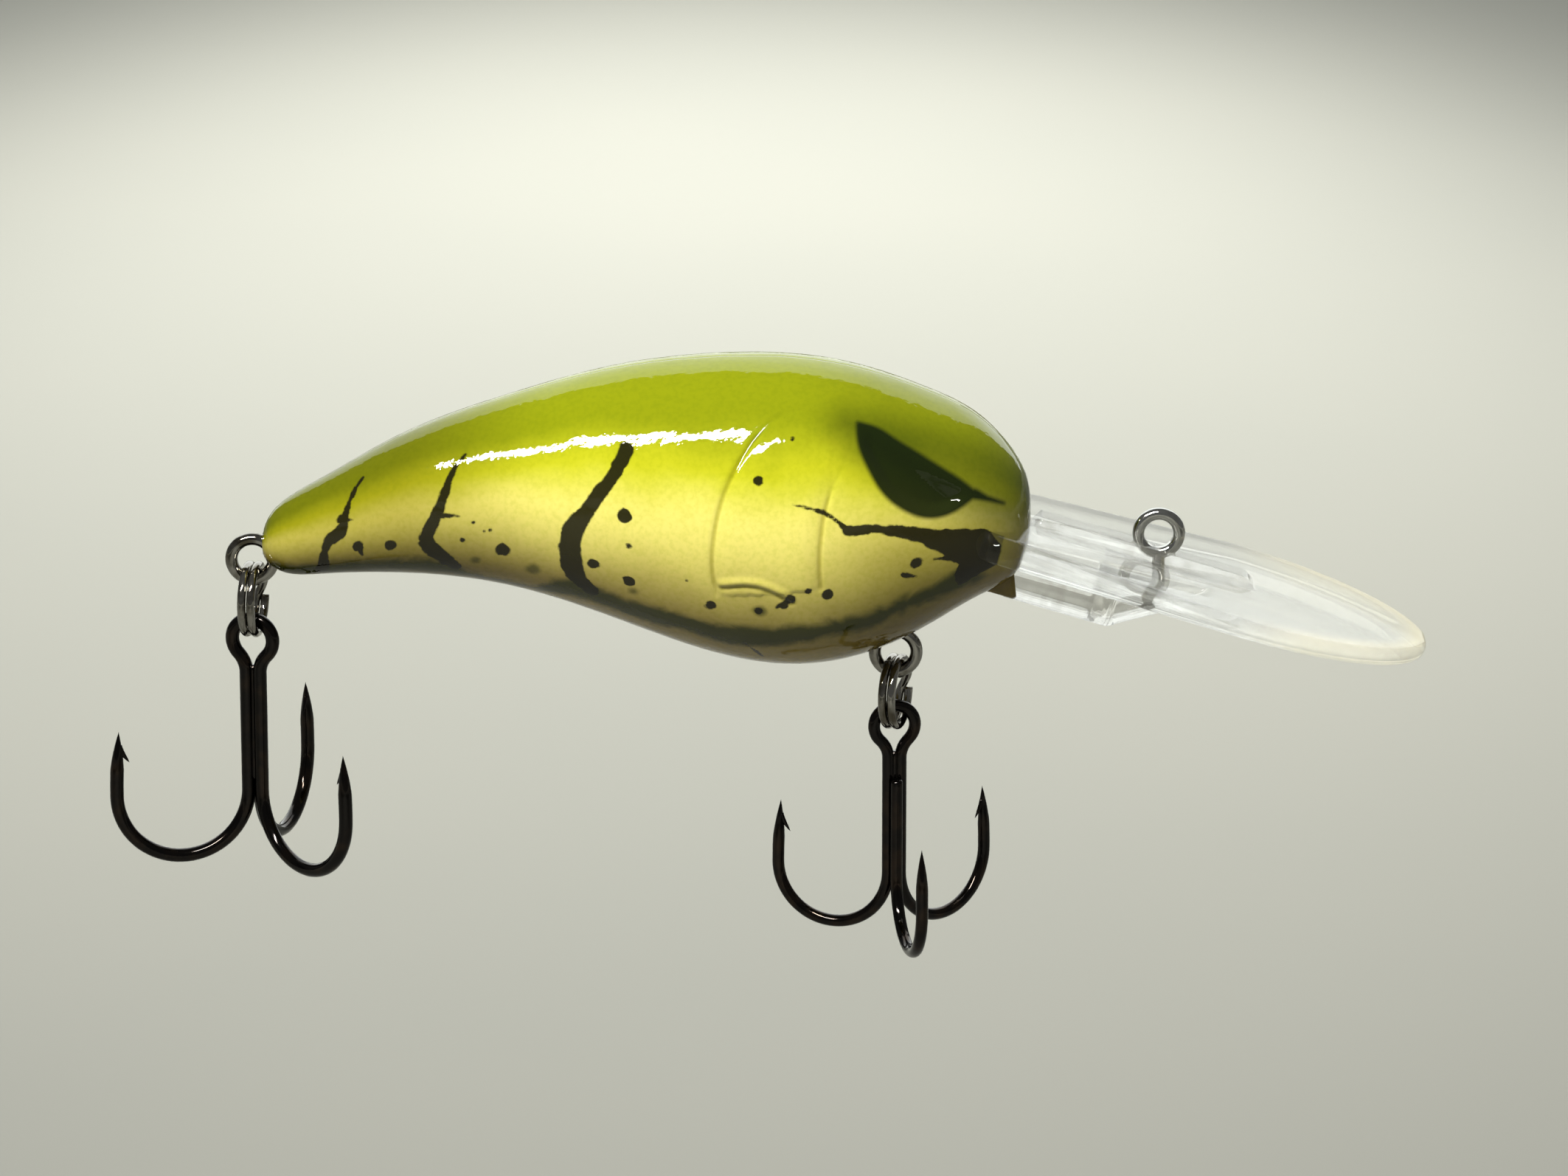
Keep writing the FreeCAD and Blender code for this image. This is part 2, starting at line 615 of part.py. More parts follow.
hole = primitive("Cylinder", "bill_pin_hole_form",
                 {"Radius": "bill_pin_radius + fit_clearance", "Height": "bill_root_thickness + 2"},
                 ("-bill_tongue_length / 2", 0, "-bill_root_thickness - 1"))
pin_hole = local_group("bill_pin_hole", [hole], *bill_place())
tie_channel = fused("tie_channel", tie_wire("channel", "0.02"))
parts["diving_bill"] = cut("diving_bill", bill_blank, fused("bill_cuts", [pin_hole, tie_channel]))

# wire parts
tie_hole = cross_cylinder("tie_hole_form", "tie_hole / 2", "(tie_wire * 2)", 0, 0)
parts["line_tie"] = cut("line_tie", fused("tie_form", tie_wire("tie", "0")), tie_hole)
for each in HANGERS:
    parts[each[0]] = hanger(*each)
parts["belly_split_ring"] = split_ring("belly_split_ring", "belly_eye_x", "belly_ring_z", "belly_ring_yaw")
parts["tail_split_ring"] = split_ring("tail_split_ring", "tail_eye_x", "tail_ring_z", "tail_ring_yaw")

# trebles
for kind in ("belly", "tail"):
    treble = Treble(kind)
    inner = "%s_hook_eye / 2 - %s_hook_wire - ring_wire / 2 - %s_treble_gap" % (kind, kind, kind)
    eye_z = "%s_ring_z - ring_mean - sqrt((%s) ^ 2 - coil_offset ^ 2)" % (kind, inner)
    for name, make in ((kind + "_double_hook", double_hook), (kind + "_third_hook", third_hook)):
        item = make(name, treble)
        parts[name] = place(item, (kind + "_eye_x", 0, eye_z), ABOUT_Z, kind + "_treble_yaw")

# ballast and rattles
for name in ("front_ballast", "rear_ballast"):
    parts[name + "_ball"] = ball(name + "_ball", name + "_ball / 2", (name + "_x", 0, name + "_z"))
for name, along, up, half_width in RATTLES:
    x, z = body_place(along, up)
    parts[name] = ball(name, name + " / 2", (x, 0, z))

document.recompute()
faults = [item.Name for item in document.Objects if {"Invalid", "Error"} & set(item.State)]
for name, item in parts.items():
    item.Label = name
    if item.Shape.isNull() or not item.Shape.isValid() or not item.Shape.Solids:
        faults.append(name)
if faults:
    raise RuntimeError("not built: " + ", ".join(faults))
os.makedirs("parts", exist_ok=True)
for name, item in parts.items():
    item.Shape.exportStep("parts/%s.step" % name)
    print(name, len(item.Shape.Solids), round(item.Shape.Volume, 2))
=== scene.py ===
import bmesh
import bpy
import json
import math
import numpy as np
from mathutils import Matrix, Vector


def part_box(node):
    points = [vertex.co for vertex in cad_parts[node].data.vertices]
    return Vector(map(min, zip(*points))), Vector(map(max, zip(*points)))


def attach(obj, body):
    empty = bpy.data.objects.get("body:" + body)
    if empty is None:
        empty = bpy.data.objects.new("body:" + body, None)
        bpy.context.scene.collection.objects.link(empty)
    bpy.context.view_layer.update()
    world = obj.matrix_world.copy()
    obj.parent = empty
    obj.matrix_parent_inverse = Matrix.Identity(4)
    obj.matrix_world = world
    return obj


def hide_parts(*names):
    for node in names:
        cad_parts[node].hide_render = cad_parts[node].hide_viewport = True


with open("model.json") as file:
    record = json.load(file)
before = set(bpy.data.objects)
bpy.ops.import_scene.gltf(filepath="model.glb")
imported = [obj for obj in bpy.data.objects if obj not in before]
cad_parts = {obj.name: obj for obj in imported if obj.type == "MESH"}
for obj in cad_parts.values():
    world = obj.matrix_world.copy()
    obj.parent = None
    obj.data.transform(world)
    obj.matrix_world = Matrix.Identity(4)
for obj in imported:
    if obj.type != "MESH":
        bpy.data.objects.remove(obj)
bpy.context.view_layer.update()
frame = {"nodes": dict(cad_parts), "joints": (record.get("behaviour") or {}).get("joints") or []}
joints = {j["name"]: np.array(j.get("pos_m") or [0, 0, 0]) * 1000 for j in frame["joints"]}
mm = 0.001
print("stage: frame loaded", len(frame["nodes"]), "nodes")


# small helpers

def smooth(low, high, x):  # 0 below low, 1 above high, an S-curve between them
    t = np.clip((x - low) / (high - low), 0, 1)
    return t * t * (3 - 2 * t)


def splineThrough(knots, values, at):
    # natural cubic: bends at the knots from one linear system, then a cubic on each step; every column at once
    step = np.diff(knots)[:, None]
    slope = np.diff(values, axis=0) / step
    count = len(knots)
    matrix = np.eye(count)
    inner = np.arange(1, count - 1)
    matrix[inner, inner - 1] = step[:-1, 0]
    matrix[inner, inner] = 2 * (step[:-1, 0] + step[1:, 0])
    matrix[inner, inner + 1] = step[1:, 0]
    right = np.zeros_like(values)
    right[1:-1] = 6 * np.diff(slope, axis=0)
    bend = np.linalg.solve(matrix, right)
    k = np.clip(np.searchsorted(knots, at) - 1, 0, count - 2)
    h = step[k]
    a = knots[k + 1][:, None] - at[:, None]
    b = at[:, None] - knots[k][:, None]
    curve = (bend[k] * a ** 3 + bend[k + 1] * b ** 3) / (6 * h)
    return curve + (values[k] / h - bend[k] * h / 6) * a + (values[k + 1] / h - bend[k + 1] * h / 6) * b


def gridFaces(rows, columns, wrap=False, first=0, flip=False):  # quads of a rows x columns grid of vertices
    i, j = np.meshgrid(np.arange(rows - 1), np.arange(columns if wrap else columns - 1), indexing="ij")
    k = (j + 1) % columns
    quads = np.stack([i * columns + j, (i + 1) * columns + j, (i + 1) * columns + k, i * columns + k], -1)
    quads = quads.reshape(-1, 4) + first
    return quads[:, ::-1] if flip else quads


def pieceFrom(name, verts, faces, material, bodyName, replaced, merge=0.0, fields=None):
    # verts in millimetres, faces in blocks; near doubles become one, faces turn outwards, then the piece rides
    mesh = bpy.data.meshes.new(name)
    allFaces = [face for block in faces for face in np.asarray(block).tolist()]
    mesh.from_pydata((np.asarray(verts) * mm).tolist(), [], allFaces)
    for field, values in (fields or {}).items():
        addField(mesh, field, values)
    work = bmesh.new()
    work.from_mesh(mesh)
    if merge:
        bmesh.ops.remove_doubles(work, verts=work.verts, dist=merge * mm)
    bmesh.ops.recalc_face_normals(work, faces=work.faces)
    work.to_mesh(mesh)
    work.free()
    mesh.polygons.foreach_set("use_smooth", np.ones(len(mesh.polygons), bool))
    mesh.materials.append(material)
    piece = bpy.data.objects.new(name, mesh)
    bpy.context.scene.collection.objects.link(piece)
    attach(piece, bodyName)
    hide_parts(*replaced)
    return piece


def addField(mesh, name, values):  # one number for each vertex, for the paint to read
    field = mesh.attributes.new(name, "FLOAT", "POINT")
    field.data.foreach_set("value", np.asarray(values, np.float32).ravel())


def wireSweep(path, radius, across, sides=20, first=0, flat=1.0):
    # point(i, a) = path[i] + r[i] (flat cos a * side + sin a * over); side = across made square to the path
    path = np.asarray(path, float)
    radius = np.broadcast_to(radius, len(path))[:, None, None]
    along = np.gradient(path, axis=0)
    along /= np.linalg.norm(along, axis=1, keepdims=True)
    side = across - along * (along @ across)[:, None]
    side /= np.linalg.norm(side, axis=1, keepdims=True)
    over = np.cross(along, side)
    angle = np.arange(sides) * 2 * math.pi / sides
    ring = np.cos(angle)[None, :, None] * side[:, None] * flat + np.sin(angle)[None, :, None] * over[:, None]
    verts = (path[:, None] + radius * ring).reshape(-1, 3)
    caps = np.array([path[0], path[-1]])
    count = len(path) * sides
    turn = np.arange(sides)
    after = (turn + 1) % sides
    start = np.stack([np.full(sides, count), turn, after], -1)
    last = (len(path) - 1) * sides
    end = np.stack([np.full(sides, count + 1), last + after, last + turn], -1)
    faces = [gridFaces(len(path), sides, wrap=True, first=first, flip=True), start + first, end + first]
    return np.concatenate([verts, caps]), faces


def joined(sweeps):  # several sweeps in one mesh; each item is the arguments of wireSweep
    verts, faces, first = [], [], 0
    for item in sweeps:
        v, f = wireSweep(first=first, **item)
        verts.append(v)
        faces += f
        first += len(v)
    return np.concatenate(verts), faces


def arc(centre, one, two, start, end, count):  # centre + one cos t + two sin t
    t = np.linspace(start, end, count)[:, None]
    return np.asarray(centre) + np.cos(t) * np.asarray(one) + np.sin(t) * np.asarray(two)


def chain(*runs):  # runs end to end, each one's first point dropped after the first run
    return np.concatenate([runs[0]] + [r[1:] for r in runs[1:]])


# materials: a short way to write nodes

class Nodes:
    def __init__(self, name):
        self.material = bpy.data.materials.new(name)
        self.material.use_nodes = True
        self.tree = self.material.node_tree
        self.shader = self.tree.nodes["Principled BSDF"]

    def node(self, kind, inputs=None, **settings):
        made = self.tree.nodes.new("ShaderNode" + kind)
        for key, value in settings.items():
            setattr(made, key, value)
        for key, value in (inputs or {}).items():
            self.put(made.inputs[key], value)
        return made

    def put(self, socket, value):
        if isinstance(value, bpy.types.NodeSocket):
            self.tree.links.new(value, socket)
        else:
            socket.default_value = value

    def set(self, **values):
        for key, value in values.items():
            self.put(self.shader.inputs[key.replace("_", " ")], value)

    def place(self):
        return self.node("TexCoord").outputs["Object"]

    def field(self, name):
        return self.node("Attribute", attribute_name=name).outputs["Fac"]

    def noise(self, scale, detail=3, at=None, roughness=0.5, distortion=0.0):
        inputs = {"Scale": scale, "Detail": detail, "Roughness": roughness, "Distortion": distortion}
        return self.node("TexNoise", {"Vector": at or self.place(), **inputs}).outputs["Fac"]

    def math(self, kind, a, b=0.0, c=0.0):
        return self.node("Math", {0: a, 1: b, 2: c}, operation=kind).outputs[0]

    def remap(self, value, low, high, to=(0.0, 1.0)):
        inputs = {"Value": value, "From Min": low, "From Max": high, "To Min": to[0], "To Max": to[1]}
        return self.node("MapRange", inputs, interpolation_type="SMOOTHSTEP").outputs[0]

    def blend(self, share, a, b, mode="MIX"):
        mixed = self.node("Mix", data_type="RGBA", blend_type=mode)
        for index, value in ((0, share), (6, a), (7, b)):
            self.put(mixed.inputs[index], value)
        return mixed.outputs[2]

    def bump(self, height, strength, distance):
        inputs = {"Height": height, "Strength": strength, "Distance": distance * mm}
        return self.node("Bump", inputs).outputs["Normal"]


# finishes

paint = {
    "green": (0.25, 0.285, 0.003, 1), "lime": (0.58, 0.58, 0.016, 1), "cream": (0.93, 0.84, 0.20, 1),
    "khaki": (0.34, 0.25, 0.062, 1), "brown": (0.14, 0.095, 0.018, 1), "headGreen": (0.045, 0.066, 0.001, 1),
    "band": (0.030, 0.038, 0.002, 1), "mark": (0.010, 0.009, 0.002, 1), "eye": (0.006, 0.012, 0.001, 1),
    # ends: painted shade multiplied over the tail and the lower head, which the light reaches less
    "speck": (0.78, 0.82, 0.50, 1), "grooveShade": (0.55, 0.53, 0.30, 1), "ends": (0.52, 0.50, 0.36, 1),
    # each tone over the one before it, from the belly up: girth at which it starts and is full; the khaki and
    # brown low down are the belly's paint, made darker as painted shade of the underside
    "tones": [("khaki", -1.0, -0.62), ("cream", -0.60, 0.06), ("lime", 0.04, 0.34), ("green", 0.24, 0.60)],
    # distances in millimetres from each mark at which it starts and is full, and how dark it gets
    "headEdge": (3.0, -1.2, (0.0, 0.74)), "bandEdge": (0.55, -0.45, (0.0, 0.94)),
    "softEdge": (0.3, -0.2, (0.0, 0.7)), "grooveShadeEdge": (0.26, 0.02, (0.0, 0.75)),
    "markEdge": (0.09, -0.06, (0.0, 0.98)), "eyeEdge": (0.34, -0.1, (0.0, 0.98)),
    "bandTear": 2.6, "markTear": 1.1,
}


def paintedBody():
    # brown and khaki, then airbrushed cream, lime and green by girth, the low brown and khaki partly paint and
    # partly painted shade of the underside; painted shade at both ends and in the claw grooves; band, marks and
    # eye over them; clear gloss coat on top
    n = Nodes("paintedBody")
    grain = n.noise(2600, 2)
    cloud = n.noise(230, 4)
    height = n.math("ADD", n.field("girth"), n.math("MULTIPLY_ADD", cloud, 0.18, -0.09))
    # tones by girth; the dark belly tones are partly the lure's paint and partly painted shade
    colour = paint["brown"]
    for tone, start, full in paint["tones"]:
        colour = n.blend(n.remap(height, start, full), colour, paint[tone])
    colour = n.blend(n.remap(n.field("headField"), *paint["headEdge"]), colour, paint["headGreen"])
    # painted shade darkening both ends of the lure
    colour = n.blend(n.field("paintedEndShade"), colour, paint["ends"], "MULTIPLY")
    colour = n.blend(n.remap(grain, 0.35, 0.75, (0.0, 0.45)), colour, paint["speck"], "MULTIPLY")
    blotch = n.math("MULTIPLY_ADD", n.noise(520, 4, distortion=0.8), 0.5, -0.25)
    edge = n.math("MULTIPLY_ADD", n.noise(900, 4, distortion=0.6), 0.5, -0.25)
    band = n.math("ADD", n.field("bandField"), n.math("MULTIPLY", blotch, paint["bandTear"]))
    colour = n.blend(n.remap(band, *paint["bandEdge"]), colour, paint["band"])
    soft = n.math("ADD", n.field("softField"), edge)
    colour = n.blend(n.remap(soft, *paint["softEdge"]), colour, paint["band"])
    # painted shade darkening the claw grooves and the line under the pincer ridge
    colour = n.blend(n.remap(n.field("grooveShadeField"), *paint["grooveShadeEdge"]), colour, paint["grooveShade"], "MULTIPLY")
    mark = n.math("ADD", n.field("markField"), n.math("MULTIPLY", edge, paint["markTear"]))
    colour = n.blend(n.remap(mark, *paint["markEdge"]), colour, paint["mark"])
    colour = n.blend(n.remap(n.field("eyeField"), *paint["eyeEdge"]), colour, paint["eye"])
    n.set(Base_Color=colour, Roughness=n.remap(cloud, 0.3, 0.7, (0.30, 0.42)), Coat_Weight=1.0,
          Coat_Roughness=0.03, Coat_IOR=1.5, Specular_IOR_Level=0.0,
          Normal=n.bump(n.noise(420, 3), 0.2, 0.05), Coat_Normal=n.bump(n.noise(360, 4), 1.0, 0.095))
    return n.material


plastic = {"clear": (0.88, 0.88, 0.84, 1), "ribReflection": (0.42, 0.40, 0.35, 1), "glow": (1.0, 0.93, 0.66, 1),
           "milk": 0.08, "glowShare": 0.42}


def clearPlastic():
    # clear moulded plastic: flow waves in its skin; painted reflections as dark streaks by the rib, and a
    # painted creamy glow at the tip's rim
    n = Nodes("clearPlastic")
    milk = n.remap(n.noise(140, 4, distortion=0.8), 0.35, 0.75, (0.0, plastic["milk"]))
    # painted light in the colour: a creamy glow at the rim near the tip and dark reflection streaks by the rib
    glow = n.math("MULTIPLY", n.field("paintedRimGlow"), plastic["glowShare"])
    streak = n.math("MULTIPLY", n.field("paintedRibStreaks"), n.remap(n.noise(310, 4, distortion=1.5), 0.42, 0.6))
    colour = n.blend(streak, plastic["clear"], plastic["ribReflection"])
    n.set(Base_Color=n.blend(n.field("paintedRimGlow"), colour, plastic["glow"]), IOR=1.47, Alpha=0.56,
          Transmission_Weight=n.math("SUBTRACT", n.math("SUBTRACT", 1.0, milk), glow),
          Roughness=n.remap(n.noise(180, 3), 0.3, 0.7, (0.02, 0.07)),
          Normal=n.bump(n.noise(90, 2), 0.3, 0.15))
    return n.material


def platedWire(name, colour, rough, stain):
    # mirror plating with a faint stain and fine drawing lines
    n = Nodes(name)
    tint = n.blend(n.remap(n.noise(700, 4), 0.42, 0.72), colour, stain)
    n.set(Base_Color=tint, Metallic=1.0, Roughness=n.remap(n.noise(1500, 3), 0.3, 0.7, (rough, rough + 0.05)),
          Normal=n.bump(n.noise(1300, 2), 0.5, 0.012))
    return n.material


def spunSteel():
    # bare ball-bearing steel, faintly brushed
    n = Nodes("spunSteel")
    n.set(Base_Color=n.blend(n.noise(900, 2), (0.5, 0.5, 0.49, 1), (0.62, 0.61, 0.6, 1)), Metallic=1.0,
          Roughness=n.remap(n.noise(1800, 2), 0.3, 0.7, (0.2, 0.34)))
    return n.material


blackNickel = platedWire("blackNickel", (0.028, 0.026, 0.025, 1), 0.07, (0.050, 0.038, 0.030, 1))
darkNickel = platedWire("darkNickel", (0.40, 0.385, 0.35, 1), 0.06, (0.13, 0.115, 0.085, 1))
tieSteel = platedWire("tieSteel", (0.62, 0.62, 0.60, 1), 0.08, (0.48, 0.47, 0.44, 1))
ballSteel = spunSteel()
bodyPaint = paintedBody()


# body: two moulded halves, one surface worked out from elliptical sections

body = {
    "length": 55.2, "height": 22.6, "width": 18.6, "noseX": -9.2, "axisZ": 1.8, "wall": 1.2,
    # share of the length from the tail, centre, half height and half width as shares
    "sections": [
        (0.000, -0.115, 0.000, 0.000), (0.0008, -0.115, 0.050, 0.050), (0.008, -0.105, 0.142, 0.140),
        (0.027, -0.092, 0.226, 0.225), (0.075, -0.058, 0.305, 0.310), (0.171, 0.013, 0.432, 0.440),
        (0.315, 0.064, 0.606, 0.610), (0.460, 0.058, 0.814, 0.815), (0.604, 0.017, 0.974, 0.975),
        (0.690, 0.001, 1.000, 1.000), (0.772, -0.002, 0.941, 0.955), (0.868, 0.010, 0.757, 0.815),
        (0.940, 0.012, 0.555, 0.640), (0.978, -0.012, 0.395, 0.460), (0.994, -0.010, 0.240, 0.280),
        (0.9994, -0.005, 0.090, 0.100), (1.000, -0.005, 0.000, 0.000)],
    "rows": 440, "columns": 191, "innerColumns": 21,
    # what the paint's fields hold off the outer skin; away is for every field not named
    "hidden": {"girth": -0.8, "paintedEndShade": 0.6}, "away": 9.0,
}
tailX = body["noseX"] - body["length"]


def bodyRows(count):
    # distance from the tail, centre, half height and half width: a spline through the sections, evenly spaced
    # along the side outline
    shares = np.array(body["sections"])
    values = shares * [body["length"], body["height"], body["height"] / 2, body["width"] / 2]
    knots = np.concatenate([[0], np.cumsum(np.hypot(np.diff(values[:, 0]), np.diff(values[:, 2])))])
    made = splineThrough(knots, values, np.linspace(0, knots[-1], count))
    made[:, 2:] = np.maximum(made[:, 2:], 0)
    made[[0, -1], 2:] = 0
    made[:, 0] = np.clip(made[:, 0], 0, body["length"])
    return made


def bodySurface(made, turn, inset=0.0):
    # x along the lure; y = -halfWidth cos a; z = centre + halfHeight sin a; a from -90 (belly) to 90 (back)
    high = np.maximum(made[:, 2:3] - inset, 0)
    wide = np.maximum(made[:, 3:4] - inset, 0)
    x = tailX + made[:, 0:1] + 0 * turn
    return np.stack([x, -wide * np.cos(turn), body["axisZ"] + made[:, 1:2] + high * np.sin(turn)], -1)


bodyLine = bodyRows(body["rows"])
turns = np.linspace(-math.pi / 2, math.pi / 2, body["columns"])
skin = bodySurface(bodyLine, turns)
# rise: millimetres round the section from the middle of the flank, up positive; girth: the same as a share
legs = np.linalg.norm(np.diff(skin, axis=1), axis=-1)
rise = np.concatenate([np.zeros((len(skin), 1)), np.cumsum(legs, axis=1)], axis=1)
rise -= rise[:, body["columns"] // 2][:, None]
girth = rise / np.maximum(rise[:, -1:], 0.2)
along = skin[..., 0]
print("stage: body surface", skin.shape)


# marks and relief, in millimetres along the lure and round the flank

def strokeDistance(x, y, points):
    # least over the stroke's legs of distance to the leg less the half width there
    best = np.full(x.shape, 99.0)
    for (ax, ay, ar), (bx, by, br) in zip(points[:-1], points[1:]):
        legX, legY = bx - ax, by - ay
        t = np.clip(((x - ax) * legX + (y - ay) * legY) / (legX ** 2 + legY ** 2 + 1e-9), 0, 1)
        best = np.minimum(best, np.hypot(x - ax - t * legX, y - ay - t * legY) - ar - t * (br - ar))
    return best


def rounded(points, count=60):  # a spline through a few points, evenly spaced along their legs
    points = np.array(points, float)
    knots = np.concatenate([[0], np.cumsum(np.hypot(*np.diff(points[:, :2], axis=0).T))])
    return splineThrough(knots, points, np.linspace(0, knots[-1], count))


def insideShape(x, y, outline):  # true where a line to the right crosses the outline an odd number of times
    inside = np.zeros(x.shape, bool)
    for (ax, ay), (bx, by) in zip(outline, np.roll(outline, -1, axis=0)):
        if ay != by:
            inside ^= ((ay > y) != (by > y)) & (x < (bx - ax) * (y - ay) / (by - ay) + ax)
    return inside


marks = {
    # along, rise, half width
    "strokes": [
        [(-56.9, 3.7, 0.05), (-57.7, 2.5, 0.14), (-58.2, 1.0, 0.25), (-58.5, 0.2, 0.50), (-59.4, -0.5, 0.42),
         (-59.8, -1.6, 0.34), (-60.0, -3.0, 0.55)],
        [(-49.5, 4.3, 0.07), (-50.3, 3.3, 0.20), (-50.9, 2.0, 0.30), (-51.4, 0.5, 0.36), (-52.0, -0.7, 0.48),
         (-52.4, -1.6, 0.55), (-52.0, -2.7, 0.55), (-51.2, -3.6, 0.55), (-50.4, -4.7, 0.45)],
        [(-51.6, -0.1, 0.26), (-50.6, -0.1, 0.14), (-50.0, -0.2, 0.04)],
        [(-58.5, 0.9, 0.3), (-57.6, 0.7, 0.05)],
        [(-38.0, 5.4, 0.50), (-38.7, 3.9, 0.46), (-39.9, 2.0, 0.48), (-41.0, 0.4, 0.50), (-41.8, -0.8, 0.72),
         (-42.1, -2.4, 0.78), (-42.0, -3.9, 0.74), (-41.5, -5.3, 0.62), (-40.6, -6.3, 0.55)],
        [(-26.4, 3.1, 0.04), (-24.2, 2.6, 0.10), (-23.4, 2.1, 0.08), (-22.5, 1.3, 0.16)],
        [(-22.4, 1.15, 0.34), (-20.7, 1.2, 0.24)]],
    # along, rise, radius
    "dots": [
        (-38.2, 0.6, 0.50), (-37.9, -1.6, 0.22), (-40.4, -3.5, 0.38), (-37.9, -4.6, 0.40),
        (-33.8, -3.6, 0.14), (-32.1, -5.4, 0.42), (-28.7, 4.6, 0.38), (-26.3, 7.7, 0.21),
        (-28.7, -5.4, 0.27), (-26.5, -4.1, 0.42), (-26.9, -4.7, 0.30), (-25.2, -3.4, 0.24),
        (-23.8, -3.7, 0.42), (-17.5, -1.8, 0.40), (-57.3, -1.4, 0.40), (-55.0, -1.9, 0.42),
        (-46.9, -3.0, 0.52), (-49.0, -0.7, 0.11), (-49.8, -2.1, 0.16), (-48.2, -1.4, 0.12),
        (-47.8, -1.3, 0.16)],
    "tails": [
        [(-57.3, -1.4, 0.2), (-57.0, -2.3, 0.05)], [(-26.4, -4.2, 0.3), (-27.4, -4.9, 0.1)],
        [(-18.5, -2.6, 0.16), (-17.5, -2.9, 0.07)], [(-16.2, -1.75, 0.10), (-14.6, -1.9, 0.34)],
        [(-29.6, -9.3, 0.05), (-28.9, -10.2, 0.13), (-28.4, -11.2, 0.05)]],
    "softDots": [(-48.9, -4.0, 0.35), (-44.8, -4.7, 0.45), (-37.6, -5.5, 0.3), (-28.6, -5.4, 0.4)],
    # a solid patch behind the mouth, its outline as along and rise
    "gill": [(-22.3, 1.5), (-20.7, 1.5), (-18.6, 1.2), (-16.3, 0.5), (-14.0, 0.15), (-12.3, -0.1),
             (-11.4, -1.2), (-11.6, -2.8), (-13.2, -3.9), (-14.5, -4.6), (-14.8, -3.4), (-14.5, -2.6),
             (-15.9, -1.35), (-17.1, -0.4), (-18.6, 0.35), (-20.7, 0.9), (-22.3, 0.8)],
    # the soft dark line low on the flank
    "band": [(-63.6, -1.9, 0.5), (-60.5, -2.9, 0.7), (-58.0, -3.4, 0.8), (-55.6, -4.1, 0.8),
             (-52.5, -4.7, 0.9), (-49.6, -6.0, 0.45), (-46.6, -7.2, 0.3), (-44.5, -7.4, 0.4),
             (-42.4, -6.5, 1.0), (-39.7, -7.1, 0.95), (-36.4, -7.8, 1.1), (-33.4, -8.0, 1.0),
             (-30.2, -8.4, 1.2), (-27.2, -7.8, 1.0), (-25.0, -7.4, 0.9), (-23.0, -6.9, 0.85),
             (-20.1, -6.2, 0.75), (-18.6, -5.4, 0.6), (-16.2, -4.7, 0.7), (-13.8, -3.9, 0.95)],
    # darker green round the eye and over the nose
    "head": [(-22.4, 9.0, 0.2), (-20.4, 7.8, 1.0), (-17.4, 6.0, 1.5), (-14.2, 4.0, 1.8), (-11.6, 2.8, 2.0),
             (-9.6, 1.8, 1.8)],
    # along at which the painted shade of the two ends starts and is full; the head's is lighter above these
    # rises
    "tailShade": (-42.0, -55.0), "headShade": (-27.0, -17.5), "cheek": (-1.5, 3.5), "cheekLoss": 0.7,
    "strokePoints": 40,
}
eye = {
    "lower": [(-21.7, 9.0), (-21.6, 7.4), (-20.9, 5.5), (-19.8, 3.6), (-18.3, 2.25), (-16.9, 1.55),
              (-15.4, 1.45), (-14.2, 1.9), (-13.2, 2.6)],
    "upper": [(-13.2, 2.6), (-14.3, 3.6), (-16.0, 5.0), (-17.7, 6.4), (-19.1, 7.5), (-20.4, 8.5),
              (-21.7, 9.0)],
    "crease": [(-13.4, 2.6, 0.28), (-12.5, 2.25, 0.10), (-11.3, 2.0, 0.02)],
    "depth": 0.55, "lowerSoft": 1.1, "upperSoft": 1.7,
}
claw = {
    "outline": [(-31.7, -4.4), (-32.0, -2.2), (-31.8, 0.7), (-31.1, 3.5), (-30.0, 5.9), (-28.6, 8.1),
                (-26.8, 9.7), (-24.6, 10.1), (-22.6, 9.2), (-22.1, 7.8), (-23.0, 5.1), (-23.9, 3.0),
                (-24.3, 0.7), (-24.4, -1.1), (-24.3, -3.2)],
    "ridge": [(-31.3, -3.3), (-29.3, -2.9), (-27.6, -3.3), (-26.4, -4.1)],
    "height": 0.10, "slope": 1.3, "grooveDepth": 0.11, "grooveWidth": 0.30,
    "ridgeHeight": 0.16, "ridgeWidth": 0.45, "underRidge": 0.42, "underWidth": 0.35,
    # where the plate dies out low, thins along its top and towards the eye, and how much it thins
    "low": (-6.0, -3.2), "high": (7.6, 9.2), "highLoss": 0.6, "front": (-24.0, -23.0), "frontLoss": 0.75,
}

curved = [rounded(m, marks["strokePoints"]) for m in marks["strokes"] if len(m) > 4]
straight = [m for m in marks["strokes"] if len(m) <= 4]
markField = np.minimum.reduce([strokeDistance(along, rise, m) for m in curved + straight + marks["tails"]])
for dotAlong, dotRise, dotRadius in marks["dots"]:
    markField = np.minimum(markField, np.hypot(along - dotAlong, rise - dotRise) - dotRadius)
softField = np.minimum.reduce([np.hypot(along - a, rise - b) - r for a, b, r in marks["softDots"]])
gillLine = np.array(marks["gill"], float)
gillClosed = np.vstack([gillLine, gillLine[:1]])
gillGap = strokeDistance(along, rise, np.c_[gillClosed, 0 * gillClosed[:, :1]])
markField = np.minimum(markField, gillGap * np.where(insideShape(along, rise, gillLine), -1, 1))
bandField = strokeDistance(along, rise, rounded(marks["band"]))
headField = strokeDistance(along, rise, marks["head"])
# painted shade: darker towards the tail and on the lower part of the head
tailStart, tailFull = marks["tailShade"]
headShade = smooth(*marks["headShade"], along) * (1 - marks["cheekLoss"] * smooth(*marks["cheek"], rise))
paintedEndShade = np.maximum(1 - smooth(tailFull, tailStart, along), headShade)

